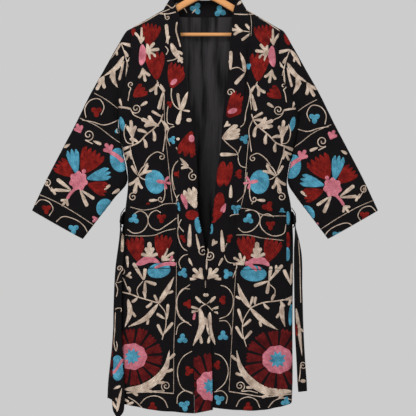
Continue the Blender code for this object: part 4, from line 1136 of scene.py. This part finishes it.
def drawSeamBorders(*names):  # the lines and scrolls beside the bands, from the shoulders to the hem
    scrollLine = 0.5
    drawOn(*names)
    ribbon([(164.2, 92), (165, 130), (168, 160), (171, 190), (172.5, 203)], scrollLine)
    ribbon([(250.5, 14), (251.5, 24), (251, 36)], scrollLine)
    ribbon([(248.5, 140), (246, 168), (243.5, 196), (241, 206)], scrollLine)
    ribbon([(176.5, 262), (176, 300), (174, 340), (173.6, 393.5)], scrollLine)
    ribbon([(236, 268), (234, 300), (231.5, 345), (229, 391.5)], scrollLine)
    ribbon([(174, 393.5), (150, 392), (126, 393)], 1.1)
    ribbon([(229, 391.5), (245, 394), (260, 396.5), (292, 394)], 1.1)
    clover = table(
        "x y size angle tint",
        (170, 104, 3.6, 90, 1), (172, 140, 4.2, -60, 0), (179, 174, 5.0, 60, 1),
        (180.5, 206, 5.0, 100, 0), (184, 238, 4.6, 80, 1), (183, 273, 5.2, -70, 0),
        (188, 304, 4.8, 60, 1), (182.5, 339, 5.4, 30, 0), (189, 371, 5.2, 120, 1),
        (184.5, 405.5, 5.8, -40, 0), (248.6, 66, 3.4, 90, 0), (244.5, 139, 5.0, 70, 0),
        (238, 174, 5.0, -60, 1), (236, 209, 5.4, 90, 0), (228.5, 238, 4.6, 80, 1),
        (227.5, 274, 5.2, -120, 0), (222, 300, 4.8, -60, 1), (223, 336, 5.4, 150, 0),
        (216.5, 365, 4.8, 60, 1), (219, 399.5, 5.4, 220, 0))
    for x, y, size, angle, tint in zip(*clover.values()):
        trefoil(x, y, size, angle, red if tint else blue)
    for knots in (
        [(168, 106), (167, 116), (168, 123), (174, 125)], [(176, 126), (170, 128), (167, 136), (170, 146)],
        [(176, 147), (180, 157), (174, 166), (172, 180), (174, 192), (178, 201)],
        [(190, 163), (184, 160), (178, 161), (173, 168), (172.5, 180), (175, 190)],
        [(176, 204), (178, 196), (184, 193), (190, 196)], [(178, 214), (179, 226), (184, 232)],
        [(191, 222), (187, 216), (182, 219), (178, 228), (179, 240), (184, 249), (190, 252)],
        [(191, 284), (184, 289), (177.5, 297), (176.5, 308), (181, 319), (189, 323)],
        [(176, 335), (179, 325), (184, 322), (192, 326)],
        [(190, 289), (183, 289), (178, 296), (177, 306), (180, 316), (186, 322)],
        [(192, 351), (183, 357), (178, 367), (178, 378), (182, 388), (193, 394)],
        [(177, 404), (178, 396), (184, 391), (193, 393)], [(190, 254), (183, 256), (179, 262), (181, 269)],
        [(247, 82), (250, 90), (249, 100), (246, 112), (243, 125), (236, 129)],
        [(241, 146), (238, 156), (241, 166), (247, 168)], [(247, 172), (246, 186), (243, 196), (237, 202)],
        [(239, 214), (230, 216), (226, 222), (228, 230)],
        [(227, 243), (224, 252), (228, 262), (236, 264), (233, 278)],
        [(219, 285), (226, 287), (232, 294), (233, 305), (228, 315), (219, 319)],
        [(219, 321), (226, 321), (231, 328), (231, 335)],
        [(213, 353), (221, 356), (227, 364), (228, 374), (224, 384), (216, 391)],
        [(214, 392), (222, 391), (227, 396), (226, 404)]):
        ribbon(knots, 0.9)


def widening(share):  # a stem that is narrower at its foot
    return 0.6 + 0.4 * share


def drawPocket(topLine, lowLine, arcs, trefoils, fans):
    for knots in topLine, lowLine:
        ribbon(knots, 0.7)
    for knots in arcs:
        ribbon(knots)
    for x, y, size, angle, thread in trefoils:
        trefoil(x, y, size, angle, thread)
    for x, y, angle, length, width in fans:
        fan(x, y, angle, length, width, red, lobes=4)


def drawPockets(*names):
    drawOn(*names)
    drawPocket([(130, 207), (145, 210), (155, 208), (165, 204), (177, 203.5)],
               [(125, 235), (128, 235.5), (140, 236), (155, 235), (165, 231), (176, 228.5)],
               [[(127, 229), (133, 233), (142, 231.5), (148, 222), (146, 214), (140, 211), (134, 214)],
                [(176.5, 218), (167, 225), (157, 230), (151, 227), (148, 221), (151, 213), (157, 210.5),
                 (161, 213)]],
               [(134, 219, 5.4, 40, blue), (161.5, 218, 5.0, -150, red)],
               [(138.5, 262, -100, 25, 19), (160, 259, -80, 24, 18)])
    drawPocket([(240, 208), (252, 210), (262, 214.5), (286, 216)],
               [(236, 235), (247, 235), (262, 238), (284, 240.5)],
               [[(238, 228), (243, 232), (251, 231), (257, 226), (260, 219), (257, 212), (251, 210),
                 (245, 211)],
                [(286, 224), (284, 233), (274, 236), (265, 232), (260, 224), (262, 216), (268, 214),
                 (274, 217)]],
               [(248.5, 219, 5.4, 40, blue), (270.5, 225, 5.0, -150, red)],
               [(248.5, 261, -97, 25, 19), (267, 263, -72, 25, 19)])
    for x in (149.5, 257):
        finger(x, 260, -90, 18, 4.6)
        hand(x, 259, -90, 13, 3.4, cream, 4, 118)
    leafBlade([(136, 265), (142, 262), (148, 259.5), (155, 260.5), (161, 264)], 8.5, pink, lobes=0)
    leafBlade([(269.5, 266), (264, 261.5), (257, 260.5), (250, 262), (245, 266)], 8.5, pink, lobes=0)
    disc(159, 270.5, 11.4, 7.6, -12, blue)
    disc(253.5, 273.5, 12.8, 8.0, 3, blue)
    ribbon([(154.5, 268), (165, 264), (176, 264)], 4.4, pink, 1, widening)
    finger(170, 262, -70, 7, 2.8, pink, layer=1)
    ribbon([(257, 271), (251, 265.5), (245, 262)], 4.6, pink, 1, widening)
    finger(258, 266, 60, 5, 2.6, pink, layer=1)
    hand(162, 261, -52, 16, 2.8, cream, 4, 98)
    hand(244, 265, -128, 14, 2.8, cream, 4, 98)


def drawLowerFront(*names):
    drawOn(*names)
    rosette(132.5, 356.5, 13, 29, 14, 8, wine, squash=1.05)
    disc(132.5, 356.5, 14.2, 13.4, 0, pink, layer=1, lobes=9, wave=0.03)
    star(132.5, 356.5, 9.0, 9, 0, blue)
    rosette(277.5, 359.5, 14, 30.5, 14, 4, wine, squash=1.08)
    disc(277.5, 359.5, 15.0, 14.2, 0, pink, layer=1, lobes=9, wave=0.03)
    star(277.5, 359.5, 9.6, 9, 10, blue)
    leafBlade([(124, 389.5), (142, 388), (155.5, 380.5), (165.5, 368), (169.5, 350)], -9.5, lobes=5)
    leafBlade([(293, 391.5), (264, 390), (250, 380.5), (240.5, 367), (236.5, 350)], 9.5, lobes=5)
    spiral(166, 386, 5.0, -1.6, 110, tail=[(158, 391), (150, 391.5)])
    spiral(240, 386, 5.0, 1.6, 70, tail=[(250, 391), (258, 393)])
    # left branches
    spray([(158, 303), (148, 300), (138, 297), (130, 294), (121, 292)], 1.5, 9, pairs=2, lean=60,
          leafWidth=3.0)
    leafBlade([(158, 304), (166, 292), (174, 277)], -8.0, lobes=1)
    leafBlade([(158, 304), (146, 318), (128, 327)], 8.0, lobes=1)
    leafBlade([(128, 299), (130, 312), (125, 327)], 8.0, lobes=1)
    finger(158, 303, -115, 9, 2.8)
    finger(160, 303, -60, 12, 2.8)
    ribbon([(159, 304), (165, 312), (166, 324), (162, 340)])
    for x, y, angle, length in ((165, 319, -147, 10), (167, 319, -86, 15), (163, 336, -115, 13),
                                (163, 335, -52, 16)):
        finger(x, y, angle, length, 3.0)
    # right branches
    spray([(250, 308), (262, 303), (276, 301), (290, 299)], 1.5, 9, pairs=2, lean=60, leafWidth=3.0)
    leafBlade([(250, 308), (242, 296), (237.5, 283)], 8.0, lobes=1)
    leafBlade([(250, 308), (262, 320), (278, 330)], -8.0, lobes=1)
    leafBlade([(282, 302), (282, 315), (285, 327)], -8.0, lobes=1)
    finger(250, 307, -75, 11, 2.8)
    ribbon([(250, 308.5), (243, 322), (242.5, 332), (246.5, 347)])
    for x, y, angle, length in ((242.5, 323, -107, 15), (242.5, 327, -42, 11.5), (243, 339, -119, 14.5),
                                (244, 340, -50, 12)):
        finger(x, y, angle, length, 3.0)
    disc(290.8, 315, 2.2, 11, 4, blue)
    # forked leaves under the pockets
    for x, y, angle, length in ((143.5, 280, -121, 20), (144, 280, -84, 12), (145, 281, 17, 12),
                                (145, 281, 90, 13),
                                (290.5, 284, -115, 16), (290.5, 284, -58, 13), (290.5, 285, -84, 22)):
        finger(x, y, angle, length, 3.4)
    ribbon([(143, 281), (137, 290), (139, 298)])
    for angle, length in ((-82, 15), (-50, 21), (162, 16), (99, 13)):
        finger(269, 281, angle, length, 3.4)
    finger(276, 273, -88, 8, 2.8)
    ribbon([(268, 283), (275, 290), (273, 300)])
    hand(292, 296, 110, 10, 2.8, cream, 3, 80)
    finger(128, 268, -95, 12, 2.8)
    hand(126, 276, -10, 8, 2.4, cream, 2, 60)
    spiral(121.5, 271, 3.6, 1.3, 90, tail=[(124, 280), (128, 290)])
    # hem border
    for knots in ([(128, 397), (136, 402), (143, 409)], [(140, 404), (146, 398), (156, 396), (164, 400),
                  (168, 408)],
                  [(236, 407), (240, 400), (248, 397), (256, 400), (260, 408)],
                  [(268, 408), (274, 401), (284, 398), (292, 400)]):
        ribbon(knots)
    trefoil(152.5, 407, 4.8, -90, red)
    trefoil(248, 407, 4.8, -90, red)
    trefoil(286, 402, 5.2, -80, blue)
    for x, y, angle in ((122, 398, 30), (126, 405, -20)):
        finger(x, y, angle, 8, 2.6)


def drawBands():
    drawOn("band.left", "band.right")
    # left band, from the shoulder down
    finger(168, 44, -95, 20, 3.4)
    finger(166, 43, -65, 8, 2.6)
    ribbon([(177, 22), (176, 30), (178, 38), (180.5, 47)], 1.8)
    leafBlade([(171, 43), (175, 52), (182, 62)], 9.0, lobes=1)
    hand(179, 57, 60, 7, 2.6, cream, 3, 80)
    spiral(167.6, 17.5, 2.5, 1.2, 200, tail=[(164, 14), (160, 13)])
    ribbon([(165, 46), (168, 50), (166, 55)])
    ribbon([(167, 61), (173, 60), (178.6, 57.5)])
    fan(171, 89, -70, 26, 21, red, lobes=5)
    disc(173.8, 82, 4.0, 2.3, -45, pink, layer=1)
    ribbon([(171.5, 88), (171.5, 98), (175, 106), (180, 110)], 1.2)
    finger(180, 110, -98, 17, 3.0)
    leafBlade([(181, 111), (184, 102), (188, 91)], 5.5, lobes=0)
    finger(181, 110, 104, 15, 4.6)
    finger(181, 110, 8, 9, 2.0)
    finger(171, 99, 92, 8, 3.4, red)
    disc(189, 120, 2.6, 1.9, 0, cream)
    disc(178, 139, 1.8, 1.4, 0, cream)
    fan(192.5, 130, 106, 27, 20, red, lobes=3)
    disc(191.5, 138.5, 2.8, 3.8, 0, pink, layer=1)
    finger(180, 158, 48, 12, 3.4)
    hand(188, 168, -158, 9, 2.8, cream, 2, 50)
    spiral(193, 176.5, 4.8, 1.5, -100, tail=[(188, 167), (181, 164)])
    fan(196, 209, -110, 22, 15, cream, lobes=3)
    fan(187, 210, -104, 17, 6.5, pink, lobes=2)
    disc(192, 215, 6.5, 5.0, 0, red)
    disc(198.2, 225, 3.4, 8.5, -8, blue)
    finger(190, 224, 92, 23, 4.2)
    finger(196, 234, 78, 16, 2.6)
    spiral(203, 251.5, 5.2, 1.5, -40, tail=[(206, 262), (206, 269)])
    # right band
    hand(243, 31, -172, 13, 3.0, cream, 3, 62)
    ribbon([(243, 31), (251, 32)])
    finger(251, 31, -128, 9, 2.8)
    finger(251, 33, 142, 12, 2.8)
    finger(230.5, 70, -90, 19, 4.2)
    ribbon([(230, 69), (238, 67.5), (245, 72)])
    leafBlade([(245, 73), (243.5, 62), (240, 52)], 4.6, lobes=0)
    finger(245, 73, 132, 15, 3.6)
    spiral(230.5, 92.5, 4.4, 1.5, 60)
    fan(227, 118, -52, 28, 23, red, lobes=5)
    disc(232.5, 111, 4.8, 2.7, -20, pink, layer=1)
    hand(224, 127, -38, 9, 2.4, cream, 2, 40)
    fan(221.5, 139, -27, 21, 15, cream, lobes=3)
    ribbon([(222, 138), (229, 145), (236, 151), (241, 162), (246, 166)])
    finger(237, 154.5, 180, 17, 3.6)
    disc(221.5, 174, 4.6, 13.0, 8, red)
    disc(228.5, 174, 3.6, 12.5, 12, red)
    disc(218.5, 206, 5.6, 14.0, 9, red)
    fan(225.8, 203, 112, 10, 5.0, pink, lobes=2, layer=1)
    finger(231, 185, 92, 13, 3.4)
    ribbon([(241, 184), (237, 191), (233, 196), (240, 200)], 1.2)
    finger(214, 213, 96, 10, 6.5, red)
    finger(212, 224, 98, 10, 4.0, blue)
    finger(221.5, 230, 86, 22, 4.2)
    spiral(209.8, 255.5, 4.8, 1.5, 120, tail=[(207, 263), (206.5, 270)])
    hand(212, 246, -58, 9, 3.0, cream, 2, 40)
    # where the bands lie crossed
    for side in (-1, 1):
        hand(205.5 + side * 2, 279, -90 + side * 45, 15, 3.6, cream, 3, 62)
        finger(205.5 + side * 9, 279, 90 - side * 90, 8, 2.8)
        finger(205.5 + side * 13, 266, -90 + side * 28, 9, 2.6)
    ribbon([(205.5, 280), (205.6, 288)])
    disc(205.8, 295, 2.8, 1.8, 0, cream)
    ribbon([(198, 298), (203, 303), (208, 306), (213, 311)])
    ribbon([(213, 297), (208, 303), (202, 306), (197, 312)])
    for x, y, angle in ((201, 303, -130), (210, 303, -50), (199, 309, -165), (212, 309, -15),
                        (197, 311, 170), (214, 312, 12)):
        finger(x, y, angle, 8.5, 2.8)
    leafBlade([(200, 308), (202, 324), (193, 346)], 10.0, lobes=2)
    leafBlade([(210, 312), (209, 327), (216, 346)], -9.0, lobes=2)
    finger(195, 312, 100, 8, 2.8, pink)
    # the great flower at the hem, cut in half by the band's edge
    drawOn("band.left")
    rosette(211, 386, 14, 33, 13, 18, wine)
    disc(211, 386, 14.2, 15.0, 0, pink, layer=1, lobes=9, wave=0.04)
    star(211, 386, 9.0, 9, 6, blue)


def drawSleeve(flip):
    draw = penFor(flip, 411.0, 0 if flip == left else 6.5)  # the right sleeve hangs a little lower
    drawOn("sleeve.left" if flip == left else "sleeve.right")
    draw(leafBlade, [(121, 43), (115, 51), (110, 60)], 6.0, lobes=1)
    draw(finger, 121, 43, 14, 13, 3.4)
    draw(ribbon, [(121, 43), (124, 51), (127, 62), (129, 70)])
    draw(finger, 124, 50, 60, 8, 3.0)
    draw(finger, 127, 62, -48, 13, 3.2)
    draw(leafBlade, [(124, 56), (117, 67), (104, 76)], 7.5, lobes=2)
    draw(leafBlade, [(114, 68), (113, 78), (118, 88)], 6.0, lobes=0)
    draw(finger, 124, 61, 104, 20, 2.6)
    draw(finger, 127, 63, 92, 16, 1.8)
    draw(hand, 104, 76, 118, 16, 3.4, cream, 3, 62)
    draw(ribbon, [(94, 93), (105, 99), (119, 109), (124, 112)], 0.7)
    draw(ribbon, [(79.6, 118), (97, 126), (113, 138), (130, 149)], 0.7)
    draw(ribbon, [(86, 118), (85, 108), (91, 100), (99, 99), (104, 107), (101, 115)])
    draw(ribbon, [(82, 120), (93, 122), (104, 125), (112, 123), (118, 120)])
    draw(trefoil, 96.5, 111.5, 5.6, 90, red if flip == left else blue)
    draw(spiral, 119, 129, 8.0, -0.8, -60, width=1.2)
    draw(trefoil, 119, 130, 4.4, -90, blue)
    draw(hand, 80.5, 133, -112, 10, 3.6, pink, 3, 70)
    draw(spiral, 88.5, 135, 5.8, 1.5, 120, tail=[(93, 144)])
    draw(finger, 93, 141, 22, 9, 3.2)
    draw(finger, 70, 144, 150, 7, 3.0)
    draw(fan, 77, 175, -102, 26, 13, blue, lobes=3)
    draw(fan, 82, 174, -60, 27, 25, red, lobes=5)
    draw(fan, 86, 179, -15, 25, 13, blue, lobes=3)
    draw(fan, 87, 184, 17, 21, 15, red, lobes=4)
    draw(fan, 74, 177, -140, 22, 17, red, lobes=4)
    draw(disc, 78.5, 181, 8.6, 9.4, 12, pink, layer=1, lobes=7, wave=0.10)
    draw(finger, 83, 174, -70, 5, 4.2, pink, layer=1)
    draw(ribbon, [(76, 188), (71, 193), (67, 199)], 3.4, pink, 1)
    draw(finger, 71, 190, -142, 18, 3.8)
    draw(finger, 71, 191, -176, 17, 3.2)
    draw(finger, 80, 190, 66, 18, 3.8)
    draw(finger, 81, 190, 34, 16, 3.2)
    draw(hand, 67.5, 199, 128, 9, 2.8, cream, 3, 84)
    draw(disc, 119, 160, 8.8, 12.4, -12, blue)
    draw(ribbon, [(110, 152), (117, 156), (123, 162)], 4.6, pink, 1)
    draw(hand, 111, 153, -120, 11, 4.0, pink, 3, 76)
    draw(finger, 112, 194, -32, 9, 3.4)
    draw(finger, 104, 190, -40, 8, 3.0)
    draw(spiral, 47, 183, 4.0, -1.4, -100, tail=[(52, 192)])
    draw(finger, 51, 187, 60, 9, 2.8)
    draw(disc, 105, 208, 8.5, 9.5, 20, blue)
    draw(hand, 99, 219, 178, 9, 3.0, pink, 2, 46)
    draw(ribbon, [(38, 194), (52, 200), (72, 211), (95, 226)], 0.7)
    draw(ribbon, [(35, 205), (40, 200), (49, 202), (53, 209), (49, 216)])
    draw(ribbon, [(56, 222), (62, 217), (74, 219), (84, 226), (89, 236)])
    draw(trefoil, 46.5, 209, 5.0, 90, red)
    draw(trefoil, 73.5, 229, 5.4, 90, blue)
    draw(finger, 92, 228, 100, 8, 2.6)


def drawShoulders():  # the border along the shoulder line and inside the neck
    drawOn()
    for x, y, angle in ((140, 20.5, -30), (151, 14.5, -30), (276, 25, 30), (262, 16.5, 30)):
        trefoil(x, y, 3.6, angle, blue)
    ribbon([(134, 27), (146, 21), (158, 14), (170, 9)], 0.9)
    ribbon([(280, 31), (268, 23), (256, 15), (246, 10)], 0.9)
    ribbon([(160, 9.5), (167, 5), (172, 8), (177, 3)])
    ribbon([(158, 13.5), (168, 13.8), (176, 12)], 1.2)
    ribbon([(234, 14), (245, 14.5), (255, 14)], 1.2)
    finger(237, 5, -40, 6, 2.8)
    trefoil(196, 8.5, 6.0, 60, blue)
    trefoil(220, 11.5, 6.0, -100, blue)
    finger(192, 13.5, -50, 6, 1.6)
    ribbon([(184, 8), (187, 13)])


def drawBelt():
    drawOn("belt.left", "belt.right")
    finger(123, 228, 92, 24, 3.0)
    spiral(119.6, 268.5, 3.2, 1.5, 60, tail=[(119, 275), (117, 281)])
    ribbon([(115.6, 282), (118.5, 282.5), (122, 281)], 0.9)
    ribbon([(115.4, 283), (117.6, 289), (116.4, 297)], 0.9)
    ribbon([(114.8, 309.5), (118.5, 308), (121.4, 308.6), (121, 312)], 0.9)
    ribbon([(115.4, 312), (114.8, 330), (114.4, 346), (116, 351), (117.2, 346), (116.2, 341)], 0.9)
    finger(113.6, 389, -24, 7.5, 2.8)
    ribbon([(298.4, 240), (299.8, 262), (300.3, 285), (300.8, 303)], 0.8)
    disc(117.5, 368, 6.4, 13.0, 0, blue)
    ribbon([(114, 373), (118, 367), (123, 359)], 3.0, pink, 1)
    finger(116, 371, 150, 6, 3.0, pink, layer=1)
    leafBlade([(117, 412), (119, 400), (122, 388)], 5.0, lobes=1)
    finger(117, 410, -120, 10, 2.8)
    leafBlade([(296, 308), (299, 330), (302, 356)], 6.0, lobes=1)
    finger(297, 336, -92, 12, 4.0, red)
    spiral(303, 366, 3.6, -1.3, -90, tail=[(300, 374), (299, 382)])
    disc(303, 381, 2.6, 1.8, 0, cream)
    drawOn("front.right")
    disc(288, 240, 2.2, 8.0, 0, red)
    disc(288, 218, 2.0, 7.0, 0, blue)
    disc(287.5, 254, 2.4, 7.0, 0, blue)


frontCloth = ["front.left", "front.right", "pocket.left", "pocket.right"]
sideCloth = ["belt.left", "belt.right", "loop.left", "loop.right"]
frontPanels = [*frontCloth, "band.left", "band.right", "band.neck", "sleeve.left", "sleeve.right",
               *sideCloth, "lining"]
backPanels = ["back", "band.neck", "sleeve.left", "sleeve.right", "belt.back", *sideCloth]


def stitchFront():
    drawChest(left, "front.left")
    drawChest(right, "front.right")
    for flip in (left, right):
        drawSleeve(flip)
    drawSeamBorders(*frontCloth)
    drawPockets(*frontCloth)
    drawOn("front.left", "front.right")  # the tops of flowers that the pockets cover
    trefoil(148, 207, 4.4, -90, red)
    trefoil(268, 207, 6.0, -60, red)
    trefoil(282, 212, 4.0, -90, blue)
    drawOn("sleeve.right")
    finger(284, 34, 62, 12, 5.0, red)
    drawLowerFront(*frontCloth)
    drawBands()
    drawShoulders()
    drawBelt()
    layOn((view["x"], -view["away"], view["height"]), frontPanels)
    sew("front")


def drawFlower(x, y, inner, outer, count, angle):  # a great flower with its pink ring and blue star
    rosette(x, y, inner, outer, count, angle, wine)
    disc(x, y, inner * 1.06, inner, 0, pink, layer=1, lobes=9, wave=0.04)
    star(x, y, inner * 0.68, 9, angle, blue)


def drawBackColumn():  # the flowers and leaves down the middle of the back
    drawOn("back")
    trefoil(206.5, 22, 6.0, -90, blue)
    for side in (-1, 1):
        draw = penFor(-side, 413.0)
        draw(fan, 214.5, 44, -52, 24, 20, red, lobes=4)
        draw(fan, 213.5, 176, 62, 22, 17, red, lobes=4)
        draw(leafBlade, [(212.5, 128), (223.5, 120), (228.5, 106)], -8.0, lobes=2)
        draw(leafBlade, [(211.5, 262), (219.5, 250), (222.5, 236)], -7.0, lobes=2)
        draw(leafBlade, [(209.5, 356), (220.5, 368), (231.5, 374)], 8.0, lobes=2)
        draw(hand, 211.5, 134, 28, 14, 3.0, cream, 3, 60)
        draw(hand, 210.5, 203, -8, 13, 2.8, cream, 2, 44)
        draw(hand, 210.5, 344, -30, 15, 3.0, cream, 3, 60)
        draw(spiral, 230.5, 58, 3.8, 1.4, -60, tail=[(221.5, 62), (214.5, 56)])
        draw(spiral, 226.5, 208, 3.8, -1.4, 60, tail=[(218.5, 204), (210.5, 204)])
        draw(spiral, 218.5, 402, 4.0, 1.4, 0, tail=[(220.5, 392), (210.5, 386)])
        draw(finger, 208.5, 54, 58, 12, 3.0)
        draw(finger, 208.5, 384, 52, 13, 3.4)
    ribbon([(206.5, 46), (206.5, 66)], 1.3)
    drawFlower(206.5, 90, 11.5, 24, 13, 8)
    ribbon([(206.5, 114), (206.5, 150)], 1.3)
    disc(206.5, 160, 11.5, 9.5, 0, blue)
    calyx(206.5, 158, 90, 15, 4.6)
    ribbon([(206.5, 176), (206.5, 204)], 1.3)
    hand(206.5, 262, -90, 17, 3.4, cream, 3, 50)
    drawFlower(205.5, 300, 12, 25, 13, 0)
    ribbon([(205.5, 326), (205.5, 384)], 1.3)
    fan(205.5, 364, -90, 24, 15, pink, lobes=3)
    disc(205.5, 374, 8.5, 7.0, 0, blue)
    trefoil(205.5, 407, 5.6, -90, red)


def drawBackBelt():
    drawOn("belt.back")
    for k, x in enumerate(range(134, 286, 19)):
        up = 1 if k % 2 else -1
        ribbon([(x - 9.5, 218 + 3.6 * up), (x - 3, 218 + 2.6 * up), (x + 3, 218 - 2.6 * up), (x + 9.5,
               218 - 3.6 * up)], 1.1)
        trefoil(x - 6, 218 - 2.6 * up, 3.0, 90 * up, red if k % 2 else blue)


def stitchBack():  # the same borders and corner flowers as the front, round a column of their own
    for flip in (left, right):
        drawChest(flip, "back")
        drawSleeve(flip)
    drawSeamBorders("back")
    drawPockets("back")
    drawLowerFront("back")
    drawBackColumn()
    drawBackBelt()
    drawShoulders()
    layOn((view["x"], view["away"], view["height"]), backPanels)
    sew("back")


stitchFront()
print("front embroidered")
stitchBack()
print("back embroidered")


# Light, floor and backdrop

light = {"world": 0.604, "aim": (0, 0, -0.65),
         "key": {"power": 55.0, "size": 1.6, "place": (-1.1, -2.4, 0.5)},
         "fill": {"power": 18.0, "size": 1.8, "place": (1.5, -2.2, -0.1)}}
room = {"halfWidth": 3.0, "near": -4.0, "far": 1.8, "floor": -1.75, "shade": 0.62}


def makeCamera():
    camera = bpy.data.cameras.new("camera")
    camera.lens = camera.sensor_width * view["away"] / view["frameWidth"]
    camera.clip_start, camera.clip_end = 0.05, 50
    holder = bpy.data.objects.new("camera", camera)
    holder.location = (view["x"], -view["away"], view["height"])
    holder.rotation_euler = (math.radians(90), 0, 0)
    bpy.context.scene.collection.objects.link(holder)
    bpy.context.scene.camera = holder


def makeLight(name):
    lamp = bpy.data.lights.new(name, "AREA")
    lamp.energy, lamp.size = light[name]["power"], light[name]["size"]
    holder = bpy.data.objects.new(name, lamp)
    holder.location = light[name]["place"]
    aim = Vector(light["aim"]) - Vector(light[name]["place"])
    holder.rotation_euler = aim.to_track_quat("-Z", "Y").to_euler()
    bpy.context.scene.collection.objects.link(holder)


def makePlaster(name, shade):
    material, shader = newMaterial(name, 0.9)
    place = addNode(material, "TexCoord").outputs["Object"]
    cloud = addNode(material, "TexNoise", Vector=place, Scale=2.0, Detail=3.0)
    pale = (shade * 1.04, shade * 1.04, shade * 1.05)
    colour = mixColours(material, cloud.outputs["Fac"], (shade, shade, shade), pale)
    finishWith(material, shader, colour, cloud.outputs["Fac"], 0.05, 0.001)


def makeFloor():
    makePlaster("floor", room["shade"])
    mesh = bpy.data.meshes.new("floor")
    corners = [(-1, "near"), (1, "near"), (1, "far"), (-1, "far")]
    mesh.from_pydata([(side * room["halfWidth"], room[end], room["floor"]) for side, end in corners], [],
                     [(0, 1, 2, 3)])
    mesh.materials.append(materials["floor"])
    floor = bpy.data.objects.new("floor", mesh)
    bpy.context.scene.collection.objects.link(floor)


def makeWorld():
    world = bpy.data.worlds.new("studio")
    world.use_nodes = True
    background = world.node_tree.nodes["Background"]
    background.inputs["Color"].default_value = (light["world"],) * 3 + (1,)
    background.inputs["Strength"].default_value = 1.0
    bpy.context.scene.world = world
    bpy.context.scene.view_settings.view_transform = "Standard"


makeCamera()
makeLight("key")
makeLight("fill")
makeFloor()
makeWorld()
print("camera and light made")
